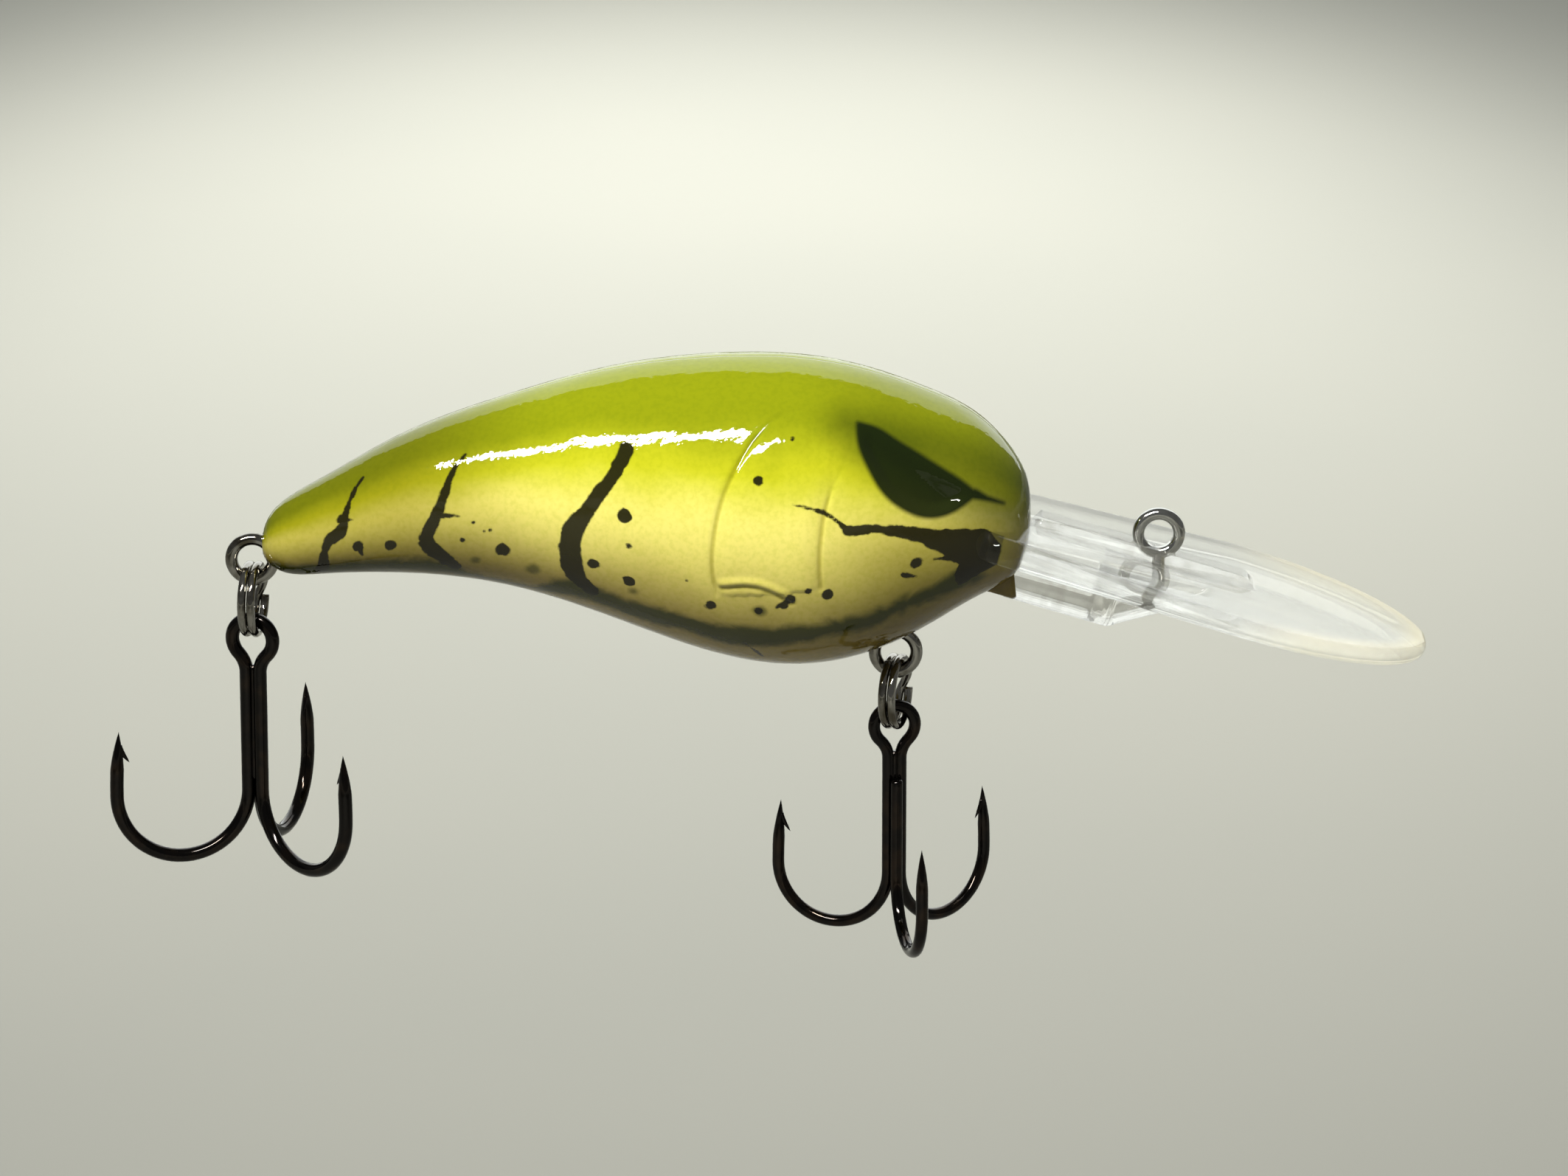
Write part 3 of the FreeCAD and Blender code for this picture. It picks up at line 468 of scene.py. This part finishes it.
lowerLid, upperLid = rounded(eye["lower"]), rounded(eye["upper"])
eyeInside = insideShape(along, rise, np.concatenate([lowerLid, upperLid[1:-1]]))
lowerGap = strokeDistance(along, rise, np.c_[lowerLid, 0 * lowerLid[:, :1]])
upperGap = strokeDistance(along, rise, np.c_[upperLid, 0 * upperLid[:, :1]])
eyeField = np.minimum(lowerGap, upperGap) * np.where(eyeInside, -1, 1)
eyeField = np.minimum(eyeField, strokeDistance(along, rise, eye["crease"]))
eyeDip = eye["depth"] * np.where(
    eyeInside, smooth(0, eye["lowerSoft"], lowerGap) * smooth(0, eye["upperSoft"], upperGap), 0)

clawLine = rounded(claw["outline"], 120)
clawGap = strokeDistance(along, rise, np.c_[clawLine, 0 * clawLine[:, :1]])
fade = smooth(*claw["low"], rise) * (1 - claw["highLoss"] * smooth(*claw["high"], rise))
fade = fade * (1 - claw["frontLoss"] * smooth(*claw["front"], along))
clawInside = insideShape(along, rise, clawLine)
clawRise = claw["height"] * fade * np.where(clawInside, smooth(0, claw["slope"], clawGap), 0)
clawRise -= claw["grooveDepth"] * fade * (1 - smooth(0, claw["grooveWidth"], clawGap))
ridgeLine = rounded(claw["ridge"], 40)
ridgeGap = strokeDistance(along, rise, np.c_[ridgeLine, 0 * ridgeLine[:, :1]])
underLine = ridgeLine - [0, claw["underRidge"]]
underRidge = strokeDistance(along, rise, np.c_[underLine, 0 * ridgeLine[:, :1]])
clawRise += claw["ridgeHeight"] * (1 - smooth(0, claw["ridgeWidth"], ridgeGap))
clawRise -= claw["grooveDepth"] * (1 - smooth(0, claw["underWidth"], underRidge))
# where the painted groove shade falls: along the claw's outline and under the pincer ridge
grooveShadeField = np.minimum(clawGap + 0.5 * (1 - fade), underRidge)

# the skin moves out along its section's normal: (cos a / half width, sin a / half height), made one long
outward = np.stack([0 * skin[..., 0], -np.cos(turns) / np.maximum(bodyLine[:, 3:4], 0.1),
                    np.sin(turns) / np.maximum(bodyLine[:, 2:3], 0.1)], -1)
outward /= np.linalg.norm(outward, axis=-1, keepdims=True)
skin = skin + outward * (clawRise - eyeDip)[..., None]
skin[:, [0, -1], 1] = 0
print("stage: marks and relief")


bill = {
    "length": 33.6, "rootX": -12.6, "topBelowTie": 1.82, "tilt": math.radians(17), "rootWidth": 14.0,
    "fullWidth": 19.6, "thick": 1.4, "rootThick": 2.2, "roundLength": 14.0, "corner": 1.3,
    "tongueLength": 4.6, "tongueWidth": 7.4,
    "ribWidth": 2.8, "ribSlope": 0.45, "ribHeight": 0.7, "ribBack": 4.0, "ribFront": 20.3,
    "keelWidth": 2.6, "keelSlope": 0.3, "keelDepth": 5.8, "keelBack": 3.2, "keelLevel": 11.0, "keelFront": 20.4,
    "bossRadius": 1.6, "bossSlope": 0.35, "bossAt": 10.4,
    # where the painted creamy rim glow fades in along the bill and from its rim, and where the painted
    # reflection streaks by the rib lie
    "glowAlong": (17, 25), "glowIn": (0.7, 2.6), "streakAt": 1.5, "streakWide": (0.2, 0.8),
    "streakBack": (3, 5), "streakFront": (19.5, 20.6),
    "rows": (12, 12, 128, 90), "columns": 121, "middleWidth": 2.6,
}
tilt = bill["tilt"]


def billPlace(u, y, z):  # turned down by the tilt about its root
    rootZ = -bill["topBelowTie"] - bill["rootX"] * math.tan(tilt)
    return np.stack([bill["rootX"] + u * math.cos(tilt) + z * math.sin(tilt), y,
                     rootZ - u * math.sin(tilt) + z * math.cos(tilt)], -1)


chin = {"back": -3.6, "front": 4.3, "slant": 1.5, "top": 2.2, "bottom": 5.8, "width": 3.0, "square": 0.38,
        "drawnFrom": 0.94, "drawnBy": 0.12, "rows": 24, "columns": 41}


def chinBlock(side, first):
    # half a rounded bar along the bill's keel: y = w cos(a)^s, z = middle + h sin(a)^s, drawn in at the front
    turn = np.linspace(-math.pi / 2, math.pi / 2, chin["columns"])
    run = np.linspace(0, 1, chin["rows"])[:, None]
    share = np.sin(run * math.pi / 2)
    close = 1 - chin["drawnBy"] * np.clip((share - chin["drawnFrom"]) / (1 - chin["drawnFrom"]), 0, 1) ** 2
    deep = (chin["bottom"] - chin["top"]) / 2 * close
    wide = chin["width"] / 2 * close
    y = wide * np.abs(np.cos(turn)) ** chin["square"]
    y[:, [0, -1]] = 0
    lift = np.sign(np.sin(turn)) * np.abs(np.sin(turn)) ** chin["square"]
    z = deep * lift - (chin["bottom"] + chin["top"]) / 2
    front = chin["front"] - chin["slant"] * (z + chin["bottom"]) / (chin["bottom"] - chin["top"])
    u = chin["back"] + (front - chin["back"]) * share
    grid = billPlace(u, -side * y, z)
    rows, columns = y.shape
    ends = grid[[0, -1]].mean(axis=1)
    seam = np.arange(rows - 1) * columns
    j = np.arange(columns - 1)
    last = (rows - 1) * columns
    backEnd, frontEnd = last + columns, last + columns + 1
    faces = [gridFaces(rows, columns),
             np.stack([seam, seam + columns, seam + 2 * columns - 1, seam + columns - 1], -1),
             np.stack([backEnd + 0 * j, j, j + 1], -1),
             np.stack([frontEnd + 0 * j, last + j + 1, last + j], -1),
             np.array([[backEnd, 0, columns - 1]]), np.array([[frontEnd, last, last + columns - 1]])]
    return np.concatenate([grid.reshape(-1, 3), ends]), [block + first for block in faces]


def halfShell(name, side):
    # outer skin, poles at nose and tail, inner wall where there is room, flat seam faces between them
    flip = np.array([1, side, 1])
    outer = skin[1:-1]
    count, across = outer.shape[:2]
    room = np.flatnonzero(bodyLine[1:-1, 3] > 3 * body["wall"])
    low, high = room[0], room[-1]
    innerTurns = np.linspace(-math.pi / 2, math.pi / 2, body["innerColumns"])
    inner = bodySurface(bodyLine[1 + low:2 + high], innerTurns, body["wall"])
    deep, narrow = inner.shape[:2]
    verts = np.concatenate([outer.reshape(-1, 3), inner.reshape(-1, 3), skin[0, :1], skin[-1, :1],
                            inner[[0, -1]].mean(axis=1)]) * flip
    base = count * across
    tail, nose, tailCap, noseCap = base + deep * narrow + np.arange(4)
    j = np.arange(across - 1)
    k = np.arange(narrow - 1)
    i = np.arange(low, high)
    ends = (count - 1) * across
    rim = base + (i - low) * narrow
    under = i * across
    over = under + across - 1
    below = np.concatenate([np.arange(low), np.arange(high, count - 1)]) * across
    below = below[(below != (low - 1) * across) & (below != high * across)]
    faces = [
        gridFaces(count, across), gridFaces(deep, narrow, first=base, flip=True),
        np.stack([tail + 0 * j, j, j + 1], -1), np.stack([nose + 0 * j, ends + j + 1, ends + j], -1),
        np.stack([under, rim, rim + narrow, under + across], -1),
        np.stack([over, over + across, rim + 2 * narrow - 1, rim + narrow - 1], -1),
        np.stack([below, below + across, below + 2 * across - 1, below + across - 1], -1),
        np.stack([tailCap + 0 * k, base + k, base + k + 1], -1),
        np.stack([noseCap + 0 * k, base + (deep - 1) * narrow + k + 1, base + (deep - 1) * narrow + k], -1),
        [[tail, 0, across - 1]], [[nose, ends, ends + across - 1]],
    ]
    a, b = (low - 1) * across, low * across
    c, d = high * across, (high + 1) * across
    first, last = base, base + (deep - 1) * narrow
    faces += [[[a, a + across - 1, b + across - 1, first + narrow - 1, tailCap, first, b]],
              [[d, d + across - 1, c + across - 1, last + narrow - 1, noseCap, last, c]]]
    chinVerts, chinFaces = chinBlock(side, len(verts))
    verts = np.concatenate([verts, chinVerts])
    faces += chinFaces
    piece = pieceFrom(name, verts, faces, bodyPaint, "lure_body",
                      ["right_body_shell" if side > 0 else "left_body_shell"])
    spare = len(verts) - base
    fields = {"markField": markField, "bandField": bandField, "eyeField": eyeField, "softField": softField,
              "headField": headField, "grooveShadeField": grooveShadeField, "paintedEndShade": paintedEndShade, "girth": girth}
    for field, values in fields.items():
        hidden = np.full(spare, body["hidden"].get(field, body["away"]))
        addField(piece.data, field, np.concatenate([values[1:-1].reshape(-1), hidden]))


for side, name in ((1, "rightShell"), (-1, "leftShell")):
    halfShell(name, side)
print("stage: body shells")


# diving bill: clear plate with a rounded rim, a low rib on top, a keel and a boss below

def billWidth(u):
    # straight flare from the root, then half an ellipse; the root's corners are rounded
    straight = bill["length"] - bill["roundLength"]
    flare = bill["rootWidth"] / 2 + (bill["fullWidth"] - bill["rootWidth"]) / 2 * np.clip(u / straight, 0, 1)
    beyond = np.maximum(u - straight, 0) / bill["roundLength"]
    tip = bill["fullWidth"] / 2 * np.sqrt(np.maximum(1 - beyond ** 2, 0))
    corner = bill["corner"]
    cornerCut = corner - np.sqrt(np.maximum(corner ** 2 - np.clip(corner - u, 0, corner) ** 2, 0))
    return np.where(u > straight, tip, flare) - np.where(u >= 0, cornerCut, 0)


def billSurfaces():
    # over length u and width y: top = rib - drop, bottom = drop - thickness, or the keel or boss where lower;
    # drop = rim radius - a quarter circle over the gap to the rim
    straight = bill["length"] - bill["roundLength"]
    tongueRows, cornerRows, plateRows, tipRows = bill["rows"]
    tip = straight + bill["roundLength"] * np.sin(np.linspace(0, math.pi / 2, tipRows))
    u = np.concatenate([np.linspace(-bill["tongueLength"], -0.02, tongueRows),
                        np.linspace(0, bill["corner"], cornerRows)[:-1],
                        np.linspace(bill["corner"], straight, plateRows)[:-1], tip])[:, None]
    half = np.where(u < 0, bill["tongueWidth"] / 2, billWidth(u))
    share = np.sin(np.linspace(-1, 1, bill["columns"]) * math.pi / 2)[None]
    middle = np.minimum(bill["middleWidth"], 0.5 * half)
    k = np.abs(share)
    inner = np.clip(k / 0.5, 0, 1) * middle
    outer = np.clip((k - 0.5) / 0.5, 0, 1) * (half - middle)
    y = np.sign(share) * (inner + outer)
    thick = bill["rootThick"] + (bill["thick"] - bill["rootThick"]) * np.clip(u / straight, 0, 1)
    rim = thick / 2
    slope = np.gradient(half[:, 0], u[:, 0])[:, None]
    slope = np.where((u < bill["corner"]) | (u > bill["length"] - 0.01), 0, slope)
    sideGap = (half - np.abs(y)) / np.sqrt(1 + slope ** 2)
    tipGap = np.where(u > straight, bill["length"] - u, 99)
    rootGap = np.where(u >= 0, u + 0.3, 99)
    gap = np.minimum(np.minimum(sideGap, np.maximum(tipGap, 0)), 99)
    gap = np.minimum(gap, rootGap)
    drop = rim - np.sqrt(np.maximum(rim ** 2 - np.clip(rim - gap, 0, rim) ** 2, 0))
    ribAlong = smooth(bill["ribBack"] - 0.2, bill["ribBack"] + 0.2, u)
    ribAlong = ribAlong * np.sqrt(np.clip(bill["ribFront"] - u, 0, 1))
    ribAcross = 1 - smooth(bill["ribWidth"] / 2 - bill["ribSlope"], bill["ribWidth"] / 2, np.abs(y))
    top = bill["ribHeight"] * ribAlong * ribAcross - drop
    rising = np.clip((u - bill["keelLevel"]) / (bill["keelFront"] - bill["keelLevel"]), 0, 1)
    keelAlong = bill["keelDepth"] * (1 - rising) * (u >= bill["keelBack"])
    keelAlong = keelAlong * smooth(bill["keelBack"] - 0.25, bill["keelBack"] + 0.1, u)
    keelAcross = 1 - smooth(bill["keelWidth"] / 2 - bill["keelSlope"], bill["keelWidth"] / 2, np.abs(y))
    bossGap = np.hypot(u - bill["bossAt"], y)
    bossShare = 1 - smooth(bill["bossRadius"] - bill["bossSlope"], bill["bossRadius"], bossGap)
    boss = (bill["keelDepth"] - 0.1) * bossShare
    bottom = np.minimum(drop - thick, -np.maximum(keelAlong * keelAcross, boss))
    # painted light: a creamy glow near the rim towards the tip, and dark reflection streaks either side of the
    # rib
    paintedRimGlow = smooth(*bill["glowAlong"], u) * (1 - smooth(*bill["glowIn"], gap))
    paintedRibStreaks = 1 - smooth(*bill["streakWide"], np.abs(np.abs(y) - bill["streakAt"]))
    paintedRibStreaks = paintedRibStreaks * smooth(*bill["streakBack"], u) * (1 - smooth(*bill["streakFront"], u))
    return u + 0 * y, y, top, bottom, paintedRimGlow, paintedRibStreaks


u, y, top, bottom, paintedRimGlow, paintedRibStreaks = billSurfaces()
upper = billPlace(u, y, top)
lower = billPlace(u, y, bottom)
count, across = u.shape
i = np.arange(count - 1)
j = np.arange(across - 1)
size = count * across
near, far = i * across, i * across + across - 1
billFaces = [
    gridFaces(count, across), gridFaces(count, across, first=size, flip=True),
    np.stack([near, near + size, near + size + across, near + across], -1),
    np.stack([far, far + across, far + across + size, far + size], -1),
    np.stack([j, j + 1, j + 1 + size, j + size], -1),
]
billFields = {"paintedRimGlow": np.tile(paintedRimGlow.ravel(), 2), "paintedRibStreaks": np.tile(paintedRibStreaks.ravel(), 2)}
billVerts = np.concatenate([upper.reshape(-1, 3), lower.reshape(-1, 3)])
pieceFrom("divingBill", billVerts, billFaces, clearPlastic(), "lure_body", ["diving_bill"],
          merge=0.004, fields=billFields)
print("stage: bill")


# wire parts

wires = {"hanger": 0.9, "hangerEye": 3.9, "hangerLength": 5.4, "ring": 0.62, "ringOuter": 5.5, "ringGap": 0.04,
         # how far the ring's wire stops short at each end, and half of what its crossing takes, in radians
         "ringOpen": 0.16, "ringCross": 0.42}
trebles = {
    "belly": {"wire": 0.88, "eye": 3.9, "reach": 8.9, "length": 17.8, "point": 4.7, "yaw": 102, "ringYaw": -16},
    "tail": {"wire": 1.0, "eye": 4.1, "reach": 10.2, "length": 18.7, "point": 4.9, "yaw": -108, "ringYaw": -9},
}
# spear: the radius of the bent spear; solder: the fillet between the shanks, as a share of the wire
hookShape = {"spear": 40.0, "neck": 2.0, "shankGap": 0.03, "thirdGap": 1.4, "needle": 2.9, "barbBack": 1.1,
             "barbLength": 1.25, "barbOut": 0.62, "barbThick": 0.30, "solder": 0.36, "solderRows": 24}


def turned(points, degrees, at):  # turned about Z and moved
    c, s = math.cos(math.radians(degrees)), math.sin(math.radians(degrees))
    return np.asarray(points) @ np.array([[c, s, 0], [-s, c, 0], [0, 0, 1]]) + at


def hookRun(t, azimuth):
    # from the point down the spear, round the bend and up to the shank's foot; arc lengths in millimetres
    out = np.array([math.cos(azimuth), math.sin(azimuth), 0])
    up = np.array([0, 0, 1.0])
    turn = math.asin(t["point"] / 2 / hookShape["spear"])
    far = t["shank"] + 2 * t["bend"]
    base = out * (far - hookShape["spear"]) + up * t["bendZ"]
    spear = arc(base, out * hookShape["spear"], up * hookShape["spear"], turn, 0, 12)
    heading = up * math.cos(turn) - out * math.sin(turn)
    tip = spear[0] + heading * t["point"] / 2 / math.cos(turn)
    point = tip + (spear[0] - tip) * np.linspace(0, 1, 26)[:, None] ** 1.3
    centre = out * (t["shank"] + t["bend"]) + up * t["bendZ"]
    bend = arc(centre, out * t["bend"], -up * t["bend"], 0, math.pi, 44)
    return chain(point, spear, bend)


def needle(path, wire):
    # wire radius that runs out to a sharp point: half the wire times s (1.55 - 0.55 s), s the needle's share
    gone = np.concatenate([[0], np.cumsum(np.linalg.norm(np.diff(path, axis=0), axis=1))])
    share = np.clip(gone / hookShape["needle"], 0, 1)
    return wire / 2 * np.maximum(share * (1.55 - 0.55 * share), 0.03)


def barb(path, azimuth, wire):
    # a thin spur from the wire's inner side: root - out s^1.15 + down s, thinning to nothing as s goes to 1
    out = np.array([math.cos(azimuth), math.sin(azimuth), 0])
    gone = np.concatenate([[0], np.cumsum(np.linalg.norm(np.diff(path, axis=0), axis=1))])
    root = np.array([np.interp(hookShape["barbBack"], gone, path[:, c]) for c in range(3)])
    down = np.array([0, 0, -1.0])
    s = np.linspace(0, 1, 10)[:, None]
    line = root - out * (hookShape["barbOut"] + wire * 0.18) * s ** 1.15 + down * hookShape["barbLength"] * s
    radius = wire * hookShape["barbThick"] * (1 - s[:, 0]) ** 0.8 + 0.012
    return {"path": line, "radius": radius, "across": np.cross(out, down), "sides": 12, "flat": 0.75}


def treblePieces(kind):
    # double hook: one wire from a point, round its bend, up the shank, round the eye and down to the other
    # point; third hook: a wire with its own bend that lies along the other two shanks
    t = trebles[kind]
    gap = hookShape["shankGap"]
    eyeMean = t["eye"] / 2 - t["wire"] / 2
    neck = hookShape["neck"]
    t["shank"] = (t["wire"] + gap) / math.sqrt(3)
    t["bend"] = (t["reach"] - t["shank"]) / 2
    t["bendZ"] = eyeMean + t["wire"] + t["bend"] - t["length"]
    leg = (t["wire"] + gap) / 2
    neckZ = -math.sqrt((eyeMean + neck) ** 2 - (leg + neck) ** 2)
    swing = math.asin(-neckZ / (eyeMean + neck))
    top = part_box(kind + "_double_hook")[1].z * 1000
    at = np.array([joints[kind + "_treble_sway"][0], 0, top - t["eye"] / 2])
    x = t["shank"] / 2

    def eyeSide(sign):  # shank top, out round the neck's arc and up round half the eye
        centre = (x, sign * (leg + neck), neckZ)
        foot = arc(centre, (0, sign * neck, 0), (0, 0, neck), math.pi, math.pi - swing, 10)
        half = arc((x, 0, 0), (0, sign * eyeMean, 0), (0, 0, eyeMean), -swing, math.pi / 2, 34)
        return chain(foot, half)

    sixty = math.radians(60)
    left, right = hookRun(t, sixty), hookRun(t, -sixty)
    path = chain(left, eyeSide(1))
    other = chain(right, eyeSide(-1))
    whole = chain(path, other[::-1])
    radius = np.concatenate([needle(path, t["wire"]), needle(other, t["wire"])[::-1][1:]])
    rows = hookShape["solderRows"]
    solder = np.linspace((x * 0.8, 0, t["bendZ"] + 0.6), (x * 0.8, 0, neckZ + 0.55), rows)
    solderRadius = t["wire"] * hookShape["solder"] * np.sqrt(np.clip(np.linspace(0.05, rows, rows), 0, 1))
    solderRadius = solderRadius * np.linspace(1, 0.8, rows)
    sweeps = [{"path": whole, "radius": radius, "across": np.array([1.0, 0, 0]), "sides": 24},
              {"path": solder, "radius": solderRadius, "across": np.array([1.0, 0, 0]), "sides": 12},
              barb(left, sixty, t["wire"]), barb(right, -sixty, t["wire"])]
    verts, faces = joined(sweeps)
    pieceFrom(kind + "DoubleHook", turned(verts, t["yaw"], at), faces, blackNickel, kind + "_treble",
              [kind + "_double_hook"])
    run = hookRun(t, math.pi)
    high = neckZ - hookShape["thirdGap"]
    shank = np.linspace((-t["shank"], 0, t["bendZ"]), (-t["shank"], 0, high), 30)
    path = chain(run, shank)
    radius = needle(path, t["wire"])
    radius[-1] = t["wire"] * 0.42
    verts, faces = joined([{"path": path, "radius": radius, "across": np.array([0, 1.0, 0]), "sides": 24},
                           barb(run, math.pi, t["wire"])])
    pieceFrom(kind + "ThirdHook", turned(verts, t["yaw"], at), faces, blackNickel, kind + "_treble",
              [kind + "_third_hook"])


def splitRing(kind):
    # one wire wound twice round: x = offset along the axis, which crosses over as the first turn ends
    ringMean = wires["ringOuter"] / 2 - wires["ring"] / 2
    offset = wires["ring"] / 2 + wires["ringGap"] / 2
    t = np.linspace(wires["ringOpen"], 4 * math.pi - wires["ringOpen"], 150)
    turn = 2 * math.pi
    shift = offset * (2 * smooth(turn - wires["ringCross"], turn + wires["ringCross"], t) - 1)
    line = np.stack([shift, ringMean * np.cos(t), ringMean * np.sin(t)], -1)
    verts, faces = wireSweep(line, wires["ring"] / 2, np.array([1.0, 0, 0]), 18)
    verts = turned(verts, trebles[kind]["ringYaw"], joints[kind + "_treble_sway"])
    pieceFrom(kind + "SplitRing", verts, faces, darkNickel, kind + "_ring",
              [kind + "_split_ring"])


def hanger(kind, lean):
    # out along one wire, round the eye as centre + ahead cos t + over sin t, and back along the other wire
    wire = wires["hanger"]
    mean = wires["hangerEye"] / 2 - wire / 2
    side = wire * 0.45
    ahead = np.array([math.cos(lean), 0, math.sin(lean)])
    over = np.array([-math.sin(lean), 0, math.cos(lean)])
    opening = math.asin(side / mean)
    ring = arc((0, 0, 0), ahead * mean, over * mean, opening, 2 * math.pi - opening, 70)
    inLeg = np.linspace(ahead * wires["hangerLength"] + over * side, ring[0], 16)
    back = np.linspace(ring[-1], ahead * wires["hangerLength"] - over * side, 16)
    line = chain(inLeg, ring, back) + joints[kind + "_ring_swing"]
    verts, faces = wireSweep(line, wire / 2, np.array([0, 1.0, 0]), 22)
    pieceFrom(kind + "Hanger", verts, faces, darkNickel, "lure_body", [kind + "_hanger"])


for kind, lean in (("belly", math.pi / 2), ("tail", math.radians(16))):
    treblePieces(kind)
    splitRing(kind)
    hanger(kind, lean)
balls = [kind + "_ballast_ball" for kind in ("front", "rear")]
balls += [kind + "_rattle_ball" for kind in ("head", "middle", "tail")]
for name, material in [(ball, ballSteel) for ball in balls] + [("line_tie", tieSteel)]:
    slots = frame["nodes"][name].data.materials
    slots.clear()
    slots.append(material)
print("stage: wire parts")


# stage: floor, lights, camera

studio = {
    "floorZ": -150.0, "floorSize": 9000.0,
    "floor": (0.195, 0.196, 0.178, 1), "floorCloud": (0.19, 0.192, 0.175, 1),
    "world": (0.80, 0.81, 0.78, 1), "worldStrength": 0.15, "aim": (-36, 0, 2),
    "target": (-26.9, 0.0, -4.14), "distance": 600.0, "elevation": math.radians(17.5), "frameWidth": 112.8,
    "sensor": 36,
    # place, direction of the long side, width, height, watts, colour, whether it shows in gloss
    "lights": {
        "stripLight": ((-200, -362, 454), (-360, 5, -128), 390, 66, 5.0, (1.0, 0.985, 0.93), True),
        "softKey": ((-3, -190, 675), (1, 0, 0), 620, 420, 1.7, (1.0, 0.985, 0.94), False),
        "backPanel": ((-36, 809, 397), (1, 0, 0), 1300, 1000, 5.4, (0.96, 1.0, 0.98), True)},
    # round pools of light on the floor beyond the lure, one for each side: from, to, watts, cone
    "pools": {
        "backPool": ((-38, 1400, 450), (-38, 520, -150), 235.0, 27),
        "frontPool": ((-38, -1500, 900), (-38, -640, -150), 120.0, 30),
        "nosePool": ((1500, 60, 900), (640, 60, -150), 120.0, 30),
        "tailPool": ((-1600, 60, 900), (-740, 60, -150), 120.0, 30)},
    "poolColour": (1.0, 0.99, 0.93), "poolSoft": 0.05,
    # wide panels far out that face straight down on the floor: place, width, depth, watts
    "washes": {
        "farWash": ((0, 2800, 1500), 9000, 3400, 150.0),
        "nearWash": ((0, -2800, 1500), 9000, 3400, 150.0),
        "noseWash": ((2800, 0, 1500), 3400, 2200, 36.0),
        "tailWash": ((-2800, 0, 1500), 3400, 2200, 36.0)},
    "washSpread": math.radians(45),
}


def floorPiece():  # one square, level at the floor's height, with a faintly clouded paper finish
    half = studio["floorSize"] / 2
    z = studio["floorZ"]
    corners = np.array([(-half, -half, z), (half, -half, z), (half, half, z), (-half, half, z)]) * mm
    mesh = bpy.data.meshes.new("floor")
    mesh.from_pydata(corners.tolist(), [], [(0, 1, 2, 3)])
    floor = bpy.data.objects.new("floor", mesh)
    bpy.context.scene.collection.objects.link(floor)
    n = Nodes("floorPaper")
    n.set(Base_Color=n.blend(n.remap(n.noise(6, 3), 0.35, 0.65), studio["floor"], studio["floorCloud"]),
          Roughness=0.9, Specular_IOR_Level=0.1)
    mesh.materials.append(n.material)


def lamp(name, light, at, aim, run=(1, 0, 0)):
    # shines from at to aim, its long side as near to run as it can be
    # axes: over x back, over = back x run, and back = from aim to at
    made = bpy.data.objects.new(name, light)
    back = (Vector(at) - Vector(aim)).normalized()
    over = back.cross(Vector(run)).normalized()
    turn = Matrix((over.cross(back), over, back)).transposed().to_4x4()
    made.matrix_world = Matrix.Translation(Vector(at) * mm) @ turn
    made.visible_camera = False
    bpy.context.scene.collection.objects.link(made)
    return made


def panel(name, width, height, watts, colour):  # a flat rectangular lamp
    light = bpy.data.lights.new(name, "AREA")
    light.shape = "RECTANGLE"
    light.size, light.size_y, light.energy, light.color = width * mm, height * mm, watts, colour
    return light


floorPiece()
for name, (at, run, width, height, watts, colour, glossy) in studio["lights"].items():
    lamp(name, panel(name, width, height, watts, colour), at, studio["aim"], run).visible_glossy = glossy
for name, (start, end, watts, cone) in studio["pools"].items():
    light = bpy.data.lights.new(name, "SPOT")
    light.energy, light.color, light.spot_size = watts, studio["poolColour"], math.radians(cone)
    light.spot_blend, light.shadow_soft_size = 1.0, studio["poolSoft"]
    lamp(name, light, start, end).visible_glossy = False
for name, (at, width, depth, watts) in studio["washes"].items():
    light = panel(name, width, depth, watts, studio["poolColour"])
    light.spread = studio["washSpread"]
    lamp(name, light, at, (at[0], at[1], 0)).visible_glossy = False
world = bpy.data.worlds.new("studioWorld")
world.use_nodes = True
sky = world.node_tree.nodes["Background"]
sky.inputs["Color"].default_value = studio["world"]
sky.inputs["Strength"].default_value = studio["worldStrength"]
bpy.context.scene.world = world
bpy.context.scene.view_settings.view_transform = "Standard"

lens = bpy.data.cameras.new("camera")
lens.sensor_width = studio["sensor"]
lens.lens = studio["distance"] * studio["sensor"] / studio["frameWidth"]
lens.clip_start, lens.clip_end = 0.01, 50
camera = bpy.data.objects.new("camera", lens)
target = Vector(studio["target"])
away = Vector((0, -math.cos(studio["elevation"]), math.sin(studio["elevation"])))
camera.location = (target + away * studio["distance"]) * mm
camera.rotation_euler = (target * mm - camera.location).to_track_quat("-Z", "Y").to_euler()
bpy.context.scene.collection.objects.link(camera)
bpy.context.scene.camera = camera
print("stage: studio")
